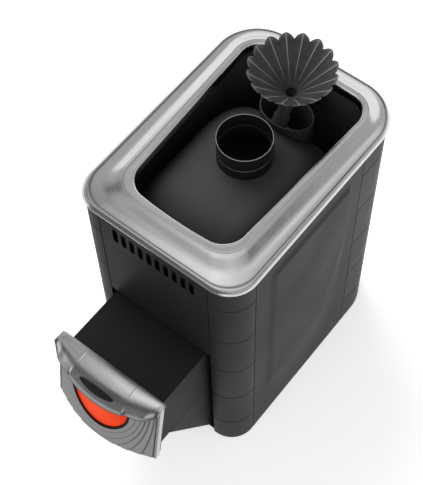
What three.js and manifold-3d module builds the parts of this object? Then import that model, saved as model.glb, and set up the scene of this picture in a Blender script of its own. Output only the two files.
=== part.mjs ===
// Wood-burning sauna heater: stone hopper in a posted casing, raked door on a fuel tunnel, steam funnel.
// Millimetres, +Z up, the door faces -Y. The casing's front plane is y = 0 until the whole part is centred.
import * as THREE from "three";
import { mergeVertices } from "three/addons/utils/BufferGeometryUtils.js";
import Module from "manifold-3d";

const wasm = await Module();
wasm.setup();

// Fits
const GAP = 0.3; // between pieces that touch
const SEAM = 2; // open seam between a post and a panel
const SLIDE = 4; // running clearance of the ash drawer
const OVER = 1; // how far a cut runs past what it cuts

// Casing
const CASING_W = 415;
const CASING_D = 584;
const CASING_H = 739.5;
const SHEET = 2;
const FRONT_RADIUS = 62;
const REAR_RADIUS = 100;
const FRONT_POST_FACE = 68; // width of a front post on the front
const FRONT_POST_SIDE = 66; // width of a front post on the side
const REAR_POST_FACE = 112;
const REAR_POST_SIDE = 149;
const LAP = 14; // strip of a post that runs behind a panel
const LAP_SHEET = 2;
const GROOVE_COUNT = 5;
const GROOVE_MARGIN = 81.5; // from the casing's top down to the highest groove
const GROOVE_PITCH = 141;
const GROOVE_HEIGHT = 2;
const GROOVE_DEPTH = 0.8;
const SLOT_COUNT = 10;
const SLOT_PITCH = 21.8;
const SLOT_WIDTH = 13;
const SLOT_HEIGHT = 47;
const SLOT_MARGIN = 35.5; // from the casing's top down to the slots
const BASE_SHEET = 3;

// Raised field of the side panels, measured from the panel's edges and from the floor
const FIELD_FRONT = 44;
const FIELD_BACK = 39;
const FIELD_BOTTOM = 55;
const FIELD_MARGIN = 49.5; // from the casing's top down to the field
const FIELD_CORNER = 12;
const FIELD_SWEEP_Y = 80; // lower rear corner of the outer outline
const FIELD_SWEEP_Z = 110;
const FIELD_RISE = 4.5;
const FLANK_SIDE = 22;
const FLANK_BACK = 6;
const FLANK_BOTTOM = 125;
const FLANK_TOP = 22;
const PLATEAU_SWEEP_Y = 225; // lower rear corner of the plateau
const PLATEAU_SWEEP_Z = 370;

// Top rim
const RIM_OVERHANG = 5;
const RIM_SHEET = 1.6;
const RIM_LIP = 8.5; // height of the outer lip
const RIM_RISE = 12.5; // from the top of the lip to the crest
const RIM_FLANGE = 22; // depth of the turned-down edge of the opening
const RIM_TURN = 4; // height of the rounding into that edge
const BEAD_UP = 1; // the bead of the lip stands over the groove inside it by this
const FOOT_UP = 2; // and the foot of the slope by this
const CREST_ROUND = 1.5;
// Places on the rim's profile, as shares of the way from its outer edge to the opening
const RIM_EDGE = 0.03;
const RIM_GROOVE = 0.1;
const RIM_SLOPE = 0.5;
const RIM_SHOULDER = 0.66;
const RIM_CREST = 0.7;
const RIM_BAND = 0.96;
const OPENING_FRONT = 82;
const OPENING_REAR = 533;
const OPENING_HALF_FRONT = 133;
const OPENING_HALF_REAR = 151;
const OPENING_RADIUS = 46;

// Hopper
const LINER_INSET = 20;
const LINER_SHEET = 1.5;
const TRAY_Z = 330;
const TRAY_SHEET = 3;

// Firebox
const BOX_HALF = 145;
const BOX_FRONT = 75;
const BOX_LENGTH = 375;
const BOX_WALL = 4;
const BOX_SINK = 37.5; // from the casing's top down to the firebox's
const BOX_SHOULDER = 78;
const BOX_CROWN = 6;
const FRONT_ROUND = 100; // length and drop of the rounded front of the top
const REAR_SLOPE = 125; // length of the falling rear part of the top
const REAR_DROP = 60;
const SUPPORT_HALF = 120;
const SUPPORT_SHEET = 5;
const SUPPORT_INSET = 40;

// Fuel tunnel and ash passage
const TUNNEL_HALF = 126;
const TUNNEL_BOTTOM = 240;
const TUNNEL_HEIGHT = 178;
const TUNNEL_WALL = 3;
const TUNNEL_ENTRY = 7; // how far the tunnel reaches into the firebox
const PANEL_CLEARANCE = 6; // between the tunnel's top and the front panel
const DRAWER_HALF = 105;
const DRAWER_HEIGHT = 53;
const DRAWER_LENGTH = 420;
const DRAWER_ROOM = 46; // between the drawer and the firebox's rear wall
const DRAWER_SHEET = 2;
const PULL_WIDTH = 90;
const PULL_REACH = 28;
const PULL_ROD = 4;
const SHELF_SHEET = 3;
const WEDGE_REACH = 137; // how far the wedge under the tunnel reaches out of the casing
const WEDGE_FOOT = 10; // where its slope meets the base, behind the casing's front
const WEDGE_SHEET = 2;
const WEDGE_BACK = 60;

// Grate and baffle
const LEDGE_WIDTH = 25;
const LEDGE_SHEET = 6;
const LEDGE_INSET = 20;
const GRATE_HEIGHT = 12;
const GRATE_LAP = 14;
const GRATE_BARS = 7;
const GRATE_SLOT = 12;
const GRATE_BORDER = 24;
const BAFFLE_DROP = 106; // under the firebox's top
const BAFFLE_SHEET = 4;
const BAFFLE_HALF = 110;
const BAFFLE_LENGTH = 245;

// Chimney collar
const FLUE_BORE = 115;
const FLUE_WALL = 1.5;
const FLUE_Y = 300;
const STUB_HEIGHT = 33; // over the firebox's top
const FLUE_HEIGHT = 38; // from the seam to the collar's top
const SPIGOT_DEPTH = 16;

// Steam pocket, feed tube and funnel
const POCKET_HALF_X = 64;
const POCKET_HALF_Y = 44;
const POCKET_Y = 446;
const POCKET_RISE = 4; // over the firebox's top
const POCKET_DEPTH = 106;
const POCKET_SHEET = 2.5;
const FUNNEL_Y = 459;
const FUNNEL_HEIGHT = 75;
const THROAT_RISE = 51; // from the pocket's top to the funnel's throat
const FUNNEL_RADIUS = 88;
const FUNNEL_THROAT = 12;
const FUNNEL_SHEET = 2;
const FLUTES = 16;
const FLUTE_HEIGHT = 5;
const FLUTE_REACH = 5;
const FLUTE_STEPS = 4;
const FUNNEL_BEND = 0.45; // share of the way out where the wall has a row of corners
const TUBE_LEAN = THREE.MathUtils.degToRad(30);
const TUBE_RADIUS = 15;
const TUBE_WALL = 1.6;
const TUBE_SIDES = 20;
const TUBE_LENGTH = 79;
const STOP_DEPTH = 55; // from the throat to the stop ring, along the tube
const STOP_HEIGHT = 5;
const SLEEVE_LENGTH = 18;
const SLEEVE_WALL = 2.4;

// Door, in its own frame: back plane y = 0, foot z = 0, leaning back by the rake
const RAKE = THREE.MathUtils.degToRad(10.2);
const DOOR_FOOT_Y = -191;
const DOOR_FOOT_Z = 238;
const DOOR_HALF = 141;
const DOOR_H = 206;
const DOOR_EDGE = 12;
const DOOR_SAG = 32;
const DOOR_WALL = 6;
const DOOR_FLANGE = 20;
const RIDGE_STEP = 1.6;
const RIDGE_HALVES = [130, 122, 115]; // half widths of the nested ridges, from the outer one in
const RIDGE_DEPTHS = [330, 240, 198];
const RIDGE_Z = 180;
const WINDOW_HALF = 76;
const WINDOW_DEPTH = 95;
const WINDOW_Z = 150;
const BEAD_WIDTH = 6;
const BEAD_RISE = 2.5;
const GLASS_THICK = 4;
const GLASS_LAP = 5;
const GASKET_THICK = 2;
const RETAINER_SHEET = 2;
const RETAINER_LAP = 15;
const SHIELD_SHEET = 2;
const SHIELD_MARGIN = 11; // between the heat shield and the tunnel's walls
const SHIELD_REACH = 4; // how far the heat shield stands into the frame
const SHIELD_STUD = 4;
const STUD_INSET = 8;
const SEAL_THICK = 5.4;
const SEAL_WIDTH = 8;
const SEAL_LAND = 1; // from the frame's opening to the seal
const FRAME_SHEET = 4;
const FRAME_SIDE = 13;
const FRAME_FOOT = 6;

// Visor and blank badge
const VISOR_HALF = 143;
const VISOR_SHEET = 3;
const VISOR_REAR = 0;
const VISOR_NOSE = 16;
const VISOR_END_NOSE = 5;
const VISOR_DROP = 50;
const VISOR_END_DROP = 34;
const VISOR_SHOULDER = 20; // from its top down to where the front face starts
const VISOR_ROUND = 8;
const VISOR_CROWN = 2;
// Places on the visor's section, as shares of the way out to its nose
const VISOR_CROWN_AT = 0.3;
const VISOR_BEND_AT = 0.62;
const VISOR_ROUND_AT = 0.88;
const VISOR_CREASE = 72; // the creases stand this far from the middle
const BADGE_HALF = 46;
const BADGE_HEIGHT = 16;
const BADGE_RISE = 2;

// Hinges
const HINGE_OUT = 7; // from the door's edge to the pin
const HINGE_BACK = 3.5; // from the door's back plane to the pin
const PIN_RADIUS = 3;
const PIN_SIDES = 16;
const PIN_HEAD = 5;
const PIN_HEAD_HEIGHT = 3;
const KNUCKLE_RADIUS = 6;
const KNUCKLE_HEIGHT = 18;
const LUG_HEIGHT = 12;
const HINGE_HEIGHTS = [34, 124];

// Rear panel screws
const SCREW_ROWS = 3;
const SCREW_RADIUS = 5;
const SCREW_HEIGHT = 2.4;
const SCREW_MARGIN = 60;
const SCREW_INSET = 10;

// Sizes that follow
const HALF = CASING_W / 2;
const GROOVE_TOP = CASING_H - GROOVE_MARGIN;
const SLOT_BOTTOM = CASING_H - SLOT_MARGIN - SLOT_HEIGHT;
const FIELD_TOP = CASING_H - FIELD_MARGIN;
const BOX_REAR = BOX_FRONT + BOX_LENGTH;
const BOX_TOP = CASING_H - BOX_SINK;
const BAFFLE_Z = BOX_TOP - BAFFLE_DROP;
const FLUE_SEAM_Z = BOX_TOP + STUB_HEIGHT;
const FLUE_TOP_Z = FLUE_SEAM_Z + FLUE_HEIGHT;
const POCKET_TOP = BOX_TOP + POCKET_RISE;
const FUNNEL_THROAT_Z = POCKET_TOP + THROAT_RISE;
const FUNNEL_RIM_Z = FUNNEL_THROAT_Z + FUNNEL_HEIGHT;
const TUNNEL_TOP = TUNNEL_BOTTOM + TUNNEL_HEIGHT;
const FLOOR_TOP = TUNNEL_BOTTOM + TUNNEL_WALL;
const DRAWER_BOTTOM = FLOOR_TOP + GAP;
const DRAWER_FRONT = BOX_REAR - BOX_WALL - DRAWER_ROOM - DRAWER_LENGTH;
const SHELF_Z = DRAWER_BOTTOM + DRAWER_HEIGHT + SLIDE;
const GRATE_Z = SHELF_Z + SHELF_SHEET + GAP;
const POST_DEPTH = SHEET + GAP + LAP_SHEET;
const FLUE_RADIUS = FLUE_BORE / 2 + FLUE_WALL;
const FRAME_FRONT = SEAL_THICK + 2 * GAP;
const FRAME_REAR = FRAME_FRONT + FRAME_SHEET;
const RIDGES = RIDGE_STEP * RIDGE_HALVES.length;

// Finishes
function finish(color, roughness, metalness) {
  return new THREE.MeshStandardMaterial({ color, roughness, metalness });
}
const ANTHRACITE = finish(0x3d3d3f, 0.62, 0.2);
const POST_PAINT = finish(0x434345, 0.6, 0.2);
const STAINLESS = finish(0xc2c2c0, 0.28, 1);
const DOOR_STEEL = finish(0xa3a3a3, 0.36, 0.9);
const BLACK_STEEL = finish(0x1c1c1d, 0.7, 0.3);
const BOX_STEEL = finish(0x4d4d4e, 0.6, 0.35);
const COLLAR_STEEL = finish(0x2e2e2f, 0.5, 0.4);
const FUNNEL_STEEL = finish(0x4a4a4b, 0.45, 0.5);
const CAST_IRON = finish(0x2a2a2a, 0.8, 0.3);
const GLOW_GLASS = finish(0xff5a24, 0.15, 0);
const ROPE = finish(0x8d8a82, 0.95, 0);
const ZINC = finish(0x8f9194, 0.4, 0.9);

// A closed geometry as a solid that can be joined and cut.
function solid(geometry) {
  const bare = new THREE.BufferGeometry();
  bare.setAttribute("position", geometry.attributes.position);
  bare.setIndex(geometry.index);
  const merged = mergeVertices(bare, 1e-4);
  const vertProperties = new Float32Array(merged.attributes.position.array);
  const triVerts = new Uint32Array(merged.index.array);
  return new wasm.Manifold(new wasm.Mesh({ numProp: 3, vertProperties, triVerts }));
}

// The surface of a solid as a geometry.
function surface(body) {
  const { vertProperties, triVerts } = body.getMesh();
  const geometry = new THREE.BufferGeometry();
  geometry.setAttribute("position", new THREE.BufferAttribute(new Float32Array(vertProperties), 3));
  geometry.setIndex(new THREE.BufferAttribute(new Uint32Array(triVerts), 1));
  geometry.computeVertexNormals();
  return geometry;
}

// Adds a solid to a group as a named mesh.
function add(group, name, body, material) {
  const mesh = new THREE.Mesh(surface(body), material);
  mesh.name = name;
  group.add(mesh);
  return mesh;
}

const range = (count) => Array.from({ length: count }, (_, i) => i);
const mix = THREE.MathUtils.lerp;
const point2 = (x, y) => new THREE.Vector2(x, y);
const point3 = (x, y, z) => new THREE.Vector3(x, y, z);
const polygon = (points) => new THREE.Shape(points);

// A block between two limits along each axis.
function block([x0, x1], [y0, y1], [z0, z1]) {
  const geometry = new THREE.BoxGeometry(x1 - x0, y1 - y0, z1 - z0);
  geometry.translate((x0 + x1) / 2, (y0 + y1) / 2, (z0 + z1) / 2);
  return solid(geometry);
}

// A flat shape given depth.
function extruded(shape, depth) {
  return new THREE.ExtrudeGeometry(shape, { depth, bevelEnabled: false, curveSegments: 6 });
}

// A flat shape given depth along Z.
function prismZ(shape, [z0, z1]) {
  const geometry = extruded(shape, z1 - z0);
  geometry.translate(0, 0, z0);
  return solid(geometry);
}

// A shape drawn in (y, z) given depth along X.
function prismX(shape, [x0, x1]) {
  const geometry = extruded(shape, x1 - x0);
  geometry.applyMatrix4(new THREE.Matrix4().makeBasis(point3(0, 1, 0), point3(0, 0, 1), point3(1, 0, 0)));
  geometry.translate(x0, 0, 0);
  return solid(geometry);
}

// A shape drawn in (x, z) given depth along Y.
function prismY(shape, [y0, y1]) {
  const geometry = extruded(shape, y1 - y0);
  geometry.applyMatrix4(new THREE.Matrix4().makeBasis(point3(1, 0, 0), point3(0, 0, 1), point3(0, -1, 0)));
  geometry.translate(0, y1, 0);
  return solid(geometry);
}

// A profile of (radius, z) points turned round a vertical axis; it closes on itself.
function turned(points, [x, y], sides = 32) {
  const profile = points.map(([r, z]) => point2(r, z));
  const geometry = new THREE.LatheGeometry([...profile, profile[0]], sides);
  geometry.rotateX(Math.PI / 2);
  geometry.translate(x, y, 0);
  return solid(outward(geometry));
}

// A round rod along Z.
function rod(radius, [x, y], [z0, z1], sides = 16) {
  const geometry = new THREE.CylinderGeometry(radius, radius, z1 - z0, sides);
  geometry.rotateX(Math.PI / 2);
  geometry.translate(x, y, (z0 + z1) / 2);
  return solid(geometry);
}

// A round rod along Y.
function rodY(radius, [x, z], [y0, y1], sides = 12) {
  const geometry = new THREE.CylinderGeometry(radius, radius, y1 - y0, sides);
  geometry.translate(x, (y0 + y1) / 2, z);
  return solid(geometry);
}

// Turns a closed geometry's faces to point out of it.
function outward(geometry) {
  const { position } = geometry.attributes;
  const corners = geometry.index.array;
  const [a, b, c] = [point3(), point3(), point3()];
  let volume = 0;
  for (let i = 0; i < corners.length; i += 3) {
    a.fromBufferAttribute(position, corners[i]);
    b.fromBufferAttribute(position, corners[i + 1]);
    c.fromBufferAttribute(position, corners[i + 2]);
    volume += a.dot(b.cross(c));
  }
  if (volume < 0) corners.reverse();
  return geometry;
}

// Faces that close a ring of points, wound as the ring is. flat() places a point in the ring's plane.
function capFaces(ring, flat) {
  const contour = ring.map(flat);
  const faces = THREE.ShapeUtils.triangulateShape(contour, []);
  return THREE.ShapeUtils.isClockWise(contour) ? faces.map(([a, b, c]) => [c, b, a]) : faces;
}

// A skin over rings of equally many points: closed by end caps, or into a loop when flat is left out.
function loft(rings, flat) {
  const count = rings[0].length;
  const last = rings.length - 1;
  const corners = [];
  range(flat ? last : last + 1).forEach((row) => {
    const next = (row + 1) % rings.length;
    range(count).forEach((i) => {
      const j = (i + 1) % count;
      const [a, b] = [row * count + i, row * count + j];
      const [c, d] = [next * count + j, next * count + i];
      corners.push(a, b, c, a, c, d);
    });
  });
  if (flat) {
    capFaces(rings[0], flat).forEach(([a, b, c]) => corners.push(c, b, a));
    capFaces(rings[last], flat).forEach((face) => corners.push(...face.map((i) => i + last * count)));
  }
  const geometry = new THREE.BufferGeometry();
  const places = rings.flat().flatMap((p) => [p.x, p.y, p.z]);
  geometry.setAttribute("position", new THREE.Float32BufferAttribute(places, 3));
  geometry.setIndex(new THREE.BufferAttribute(new Uint32Array(corners), 1));
  return solid(outward(geometry));
}

// Points of a quarter turn about (x, y) with two radii, from the given number of quarter turns on.
function quarter(x, y, rx, ry, start, steps) {
  return range(steps + 1).map((i) => {
    const angle = ((start + i / steps) * Math.PI) / 2;
    return point2(x + rx * Math.cos(angle), y + ry * Math.sin(angle));
  });
}

// Points of a whole ellipse.
function oval2([x, y], [rx, ry], steps) {
  return range(4).flatMap((turn) => quarter(x, y, rx, ry, turn, steps).slice(1));
}

// Plan outline of a box with its own front and rear half widths and corner radii.
function boxOutline([halfFront, halfRear], [front, rear], [rFront, rRear], steps = 6) {
  return [
    ...quarter(halfFront - rFront, front + rFront, rFront, rFront, -1, steps),
    ...quarter(halfRear - rRear, rear - rRear, rRear, rRear, 0, steps),
    ...quarter(rRear - halfRear, rear - rRear, rRear, rRear, 1, steps),
    ...quarter(rFront - halfFront, front + rFront, rFront, rFront, 2, steps),
  ];
}

// The casing's plan outline moved inwards.
function casingOutline(inset) {
  const half = HALF - inset;
  return boxOutline([half, half], [inset, CASING_D - inset], [FRONT_RADIUS - inset, REAR_RADIUS - inset]);
}

// Half of an ellipse hanging from a level line, drawn in (x, z), with straight sides above the line.
function halfMoon(half, depth, z, rise = 0) {
  const arc = quarter(0, z, half, depth, 2, 10).concat(quarter(0, z, half, depth, 3, 10).slice(1));
  return polygon(rise > 0 ? [...arc, point2(half, z + rise), point2(-half, z + rise)] : arc);
}

// Casing: panels, posts, base
function frontPanel() {
  const half = HALF - FRONT_POST_FACE - SEAM;
  const bottom = TUNNEL_TOP + PANEL_CLEARANCE;
  const shape = polygon([
    point2(-half, bottom),
    point2(half, bottom),
    point2(half, CASING_H),
    point2(-half, CASING_H),
  ]);
  const r = SLOT_WIDTH / 2;
  range(SLOT_COUNT).forEach((i) => {
    const x = (i - (SLOT_COUNT - 1) / 2) * SLOT_PITCH;
    const slot = new THREE.Path();
    slot.absarc(x, SLOT_BOTTOM + r, r, Math.PI, 2 * Math.PI);
    slot.absarc(x, SLOT_BOTTOM + SLOT_HEIGHT - r, r, 0, Math.PI);
    shape.holes.push(slot);
  });
  return prismY(shape, [0, SHEET]);
}

// Outline in (y, z) with one large rounded corner at its lower rear.
function fieldOutline([y0, y1], [z0, z1], [sweepY, sweepZ]) {
  const c = FIELD_CORNER;
  return [
    ...quarter(y1 - sweepY, z0 + sweepZ, sweepY, sweepZ, -1, 8),
    ...quarter(y1 - c, z1 - c, c, c, 0, 2),
    ...quarter(y0 + c, z1 - c, c, c, 1, 2),
    ...quarter(y0 + c, z0 + c, c, c, 2, 2),
  ];
}

function sidePanel(side) {
  const front = FRONT_POST_SIDE + SEAM;
  const rear = CASING_D - REAR_POST_SIDE - SEAM;
  const [y0, y1] = [front + FIELD_FRONT, rear - FIELD_BACK];
  const outer = fieldOutline([y0, y1], [FIELD_BOTTOM, FIELD_TOP], [FIELD_SWEEP_Y, FIELD_SWEEP_Z]);
  const plateau = fieldOutline(
    [y0 + FLANK_SIDE, y1 - FLANK_BACK],
    [FIELD_BOTTOM + FLANK_BOTTOM, FIELD_TOP - FLANK_TOP],
    [PLATEAU_SWEEP_Y, PLATEAU_SWEEP_Z],
  );
  const ring = (points, x) => points.map((p) => point3(side * x, p.x, p.y));
  const rings = [ring(outer, HALF - SHEET / 2), ring(plateau, HALF + FIELD_RISE)];
  const field = loft(rings, (p) => point2(p.y, p.z));
  const edges = [side * HALF, side * (HALF - SHEET)].sort((a, b) => a - b);
  return block(edges, [front, rear], [0, CASING_H]).add(field);
}

function rearPanel() {
  const half = HALF - REAR_POST_FACE - SEAM;
  return block([-half, half], [CASING_D - SHEET, CASING_D], [0, CASING_H]);
}

// A corner post: bent sheet with groove lines and a strip that laps behind each panel beside it.
function cornerPost(side, atFront) {
  const radius = atFront ? FRONT_RADIUS : REAR_RADIUS;
  const face = atFront ? FRONT_POST_FACE : REAR_POST_FACE;
  const flank = atFront ? FRONT_POST_SIDE : REAR_POST_SIDE;
  const place = ([u, v]) => point2(side * (HALF - u), atFront ? v : CASING_D - v);
  const bend = (inset) => {
    const arc = range(9).map((i) => {
      const angle = (i / 8) * (Math.PI / 2);
      return [radius - (radius - inset) * Math.sin(angle), radius - (radius - inset) * Math.cos(angle)];
    });
    return [[face, inset], ...arc, [inset, flank]];
  };
  const band = (out, depth) => polygon([...bend(-out), ...bend(depth).reverse()].map(place));
  const strip = (edge) => [
    [edge - LAP, SHEET / 2],
    [edge, SHEET / 2],
    [edge, SHEET + GAP],
    [edge + LAP, SHEET + GAP],
    [edge + LAP, POST_DEPTH],
    [edge - LAP, POST_DEPTH],
  ];
  const swap = ([u, v]) => [v, u];
  const stripBottom = atFront ? TUNNEL_TOP + PANEL_CLEARANCE : 0;
  let post = prismZ(band(0, SHEET), [0, CASING_H]);
  post = post.add(prismZ(polygon(strip(face).map(place)), [stripBottom, CASING_H]));
  post = post.add(prismZ(polygon(strip(flank).map(swap).map(place)), [0, CASING_H]));
  range(GROOVE_COUNT).forEach((i) => {
    const z = GROOVE_TOP - i * GROOVE_PITCH;
    post = post.subtract(prismZ(band(OVER, GROOVE_DEPTH), [z, z + GROOVE_HEIGHT]));
  });
  return post;
}

function basePlate() {
  return prismZ(polygon(casingOutline(POST_DEPTH + GAP)), [0, BASE_SHEET]);
}

// Heads of the screws down both edges of the rear panel, from the bottom up.
function rearScrews() {
  const x = HALF - REAR_POST_FACE - SEAM - SCREW_INSET;
  const y = CASING_D + GAP;
  const rise = (CASING_H - 2 * SCREW_MARGIN) / (SCREW_ROWS - 1);
  return range(SCREW_ROWS).flatMap((i) =>
    [-x, x].map((place) => rodY(SCREW_RADIUS, [place, SCREW_MARGIN + i * rise], [y, y + SCREW_HEIGHT])),
  );
}

// Stamped rim: a profile of (share of the way in, height) carried round the casing.
function topRim() {
  const o = RIM_OVERHANG;
  const outer = boxOutline(
    [HALF + o, HALF + o],
    [-o, CASING_D + o],
    [FRONT_RADIUS + o, REAR_RADIUS + o],
  );
  const opening = boxOutline(
    [OPENING_HALF_FRONT, OPENING_HALF_REAR],
    [OPENING_FRONT, OPENING_REAR],
    [OPENING_RADIUS, OPENING_RADIUS],
  );
  const t = RIM_SHEET;
  const lip = CASING_H + GAP + t;
  const crest = lip + RIM_RISE;
  const stamped = [
    [RIM_EDGE, lip + BEAD_UP],
    [RIM_GROOVE, lip],
    [RIM_SLOPE, lip + FOOT_UP],
    [RIM_SHOULDER, crest - CREST_ROUND],
    [RIM_CREST, crest],
    [RIM_BAND, crest - CREST_ROUND],
  ];
  const upper = [
    [0, lip - RIM_LIP],
    [0, lip - t],
    ...stamped,
    [1, crest - RIM_TURN],
    [1, crest - RIM_FLANGE],
  ];
  const inner = 1 - RIM_EDGE;
  const lower = [
    [inner, crest - RIM_FLANGE],
    [inner, crest - RIM_TURN - t],
    ...stamped.map(([share, z]) => [share, z - t]).reverse(),
    [RIM_EDGE, lip - RIM_LIP],
  ];
  const rings = outer.map((from, i) =>
    [...upper, ...lower].map(([share, z]) => {
      const at = from.clone().lerp(opening[i], share);
      return point3(at.x, at.y, z);
    }),
  );
  return loft(rings);
}

// Hopper
function hopperLiner() {
  const z = [TRAY_Z, CASING_H];
  const wall = prismZ(polygon(casingOutline(LINER_INSET)), z)
    .subtract(prismZ(polygon(casingOutline(LINER_INSET + LINER_SHEET)), [z[0] - OVER, z[1] + OVER]));
  const half = TUNNEL_HALF + GAP;
  return wall.subtract(block([-half, half], [0, BOX_FRONT], [0, TUNNEL_TOP + GAP]));
}

function stoneTray() {
  const half = BOX_HALF + GAP;
  const ring = prismZ(polygon(casingOutline(LINER_INSET + LINER_SHEET + GAP)), [TRAY_Z, TRAY_Z + TRAY_SHEET])
    .subtract(block([-half, half], [BOX_FRONT - GAP, BOX_REAR + GAP], [0, CASING_H]));
  const passage = TUNNEL_HALF + GAP;
  return ring.subtract(block([-passage, passage], [0, BOX_FRONT], [0, CASING_H]));
}

// Height of the firebox's top along its length.
function boxTopAt(y) {
  const fromFront = Math.min((y - BOX_FRONT) / FRONT_ROUND, 1);
  const fromRear = Math.min((BOX_REAR - y) / REAR_SLOPE, 1);
  const front = FRONT_ROUND * (1 - Math.sqrt(1 - (1 - fromFront) ** 2));
  const rear = REAR_DROP * (1 - fromRear) ** 2;
  return BOX_TOP - front - rear;
}

// Loaf form of the firebox, grown or shrunk by a distance on every side.
function loaf(grow, bottom) {
  const half = BOX_HALF + grow;
  const shoulder = BOX_SHOULDER + grow;
  const front = range(7).map((i) => BOX_FRONT + FRONT_ROUND * (1 - Math.cos((i / 6) * (Math.PI / 2))));
  const rear = range(7).map((i) => BOX_REAR - REAR_SLOPE + (REAR_SLOPE * i) / 6);
  const rings = [...front, ...rear].map((y) => {
    const along = mix(BOX_FRONT - grow, BOX_REAR + grow, (y - BOX_FRONT) / BOX_LENGTH);
    const top = boxTopAt(y) + grow;
    const arch = [
      point2(half, bottom),
      ...quarter(half - shoulder, top - shoulder, shoulder, shoulder, 0, 6),
      point2(0, top + BOX_CROWN),
      ...quarter(shoulder - half, top - shoulder, shoulder, shoulder, 1, 6),
      point2(-half, bottom),
    ];
    return arch.map((p) => point3(p.x, along, p.y));
  });
  return loft(rings, (p) => point2(p.x, p.z));
}

function fireboxShell() {
  const half = TUNNEL_HALF + GAP;
  const mouth = block([-half, half], [BOX_FRONT - OVER, BOX_FRONT + BOX_WALL + OVER], [0, TUNNEL_TOP + GAP]);
  const flue = rod(FLUE_RADIUS + GAP, [0, FLUE_Y], [TUNNEL_TOP, FLUE_TOP_Z], 32);
  return loaf(0, TUNNEL_BOTTOM).subtract(loaf(-BOX_WALL, 0)).subtract(mouth).subtract(flue);
}

function fireboxFloor() {
  const half = BOX_HALF - BOX_WALL - GAP;
  const rear = BOX_REAR - BOX_WALL - GAP;
  return block([-half, half], [BOX_FRONT + TUNNEL_ENTRY + GAP, rear], [TUNNEL_BOTTOM, FLOOR_TOP]);
}

function fireboxSupport(side) {
  const x = [side * SUPPORT_HALF, side * (SUPPORT_HALF - SUPPORT_SHEET)].sort((a, b) => a - b);
  const z = [BASE_SHEET + GAP, TUNNEL_BOTTOM - GAP];
  return block(x, [BOX_FRONT + SUPPORT_INSET, BOX_REAR - SUPPORT_INSET], z);
}

// Grate, ledges and baffle
function grateLedge(side) {
  const outer = BOX_HALF - BOX_WALL - GAP;
  const x = [side * outer, side * (outer - LEDGE_WIDTH)].sort((a, b) => a - b);
  const z1 = GRATE_Z - GAP;
  return block(x, [BOX_FRONT + LEDGE_INSET, BOX_REAR - LEDGE_INSET], [z1 - LEDGE_SHEET, z1]);
}

function fireGrate() {
  const half = BOX_HALF - BOX_WALL - LEDGE_WIDTH + GRATE_LAP;
  const y = [BOX_FRONT + LEDGE_INSET, BOX_REAR - LEDGE_INSET];
  let grate = block([-half, half], y, [GRATE_Z, GRATE_Z + GRATE_HEIGHT]);
  const pitch = (2 * (half - GRATE_BORDER)) / GRATE_BARS;
  const middle = (y[0] + y[1]) / 2;
  const rows = [
    [y[0] + GRATE_BORDER, middle - GRATE_BORDER / 2],
    [middle + GRATE_BORDER / 2, y[1] - GRATE_BORDER],
  ];
  const through = [GRATE_Z - OVER, GRATE_Z + GRATE_HEIGHT + OVER];
  range(GRATE_BARS).forEach((i) => {
    const x = (i - (GRATE_BARS - 1) / 2) * pitch;
    rows.forEach((row) => {
      grate = grate.subtract(block([x - GRATE_SLOT / 2, x + GRATE_SLOT / 2], row, through));
    });
  });
  return grate;
}

function flameBaffle() {
  const rear = BOX_REAR - BOX_WALL - GAP;
  const z = [BAFFLE_Z, BAFFLE_Z + BAFFLE_SHEET];
  return block([-BAFFLE_HALF, BAFFLE_HALF], [rear - BAFFLE_LENGTH, rear], z);
}

// Chimney collar
function collarStub() {
  const bottom = BOX_TOP - BOX_WALL;
  const bore = FLUE_BORE / 2;
  return turned(
    [[bore, bottom], [FLUE_RADIUS, bottom], [FLUE_RADIUS, FLUE_SEAM_Z], [bore, FLUE_SEAM_Z]],
    [0, FLUE_Y],
  );
}

function flueRing() {
  const seat = FLUE_SEAM_Z + GAP;
  const bore = FLUE_BORE / 2;
  const spigot = bore - GAP;
  const inner = spigot - FLUE_WALL;
  const foot = FLUE_SEAM_Z - SPIGOT_DEPTH;
  return turned(
    [[inner, foot], [spigot, foot], [spigot, seat], [FLUE_RADIUS, seat], [FLUE_RADIUS, FLUE_TOP_Z],
      [bore, FLUE_TOP_Z], [bore, seat + FLUE_WALL], [inner, seat + FLUE_WALL]],
    [0, FLUE_Y],
  );
}

// Steam pocket, feed tube and funnel
function pocketOutline(inset) {
  return polygon(oval2([0, POCKET_Y], [POCKET_HALF_X - inset, POCKET_HALF_Y - inset], 8));
}

function steamPocket() {
  const bottom = POCKET_TOP - POCKET_DEPTH;
  const cup = prismZ(pocketOutline(0), [bottom, POCKET_TOP])
    .subtract(prismZ(pocketOutline(POCKET_SHEET), [bottom + POCKET_SHEET, POCKET_TOP + OVER]));
  return cup.subtract(loaf(GAP, TUNNEL_BOTTOM));
}

// Funnel: a section of its wall carried round, with round flutes that grow towards the rim.
function funnel() {
  const steps = FLUTES * FLUTE_STEPS;
  const section = (angle) => {
    const turn = (angle * FLUTES) / (2 * Math.PI);
    const wave = 1 - 8 * (turn - Math.round(turn)) ** 2;
    const rise = (share, drop) => {
      const r = mix(FUNNEL_THROAT, FUNNEL_RADIUS + FLUTE_REACH * wave, share);
      const z = mix(FUNNEL_THROAT_Z, FUNNEL_RIM_Z, share) + FLUTE_HEIGHT * wave * share - drop;
      return point3(r * Math.cos(angle), FUNNEL_Y + r * Math.sin(angle), z);
    };
    const shares = [0, FUNNEL_BEND, 1];
    return [...shares.map((s) => rise(s, 0)), ...shares.reverse().map((s) => rise(s, FUNNEL_SHEET))];
  };
  return loft(range(steps).map((i) => section((i / steps) * 2 * Math.PI)));
}

// Places a solid made along Z, with the funnel's throat at z = 0, on the leaning axis of the feed tube.
function leaning(body) {
  const geometry = surface(body);
  geometry.rotateX(-TUBE_LEAN);
  geometry.translate(0, FUNNEL_Y, FUNNEL_THROAT_Z);
  return solid(geometry);
}

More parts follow.
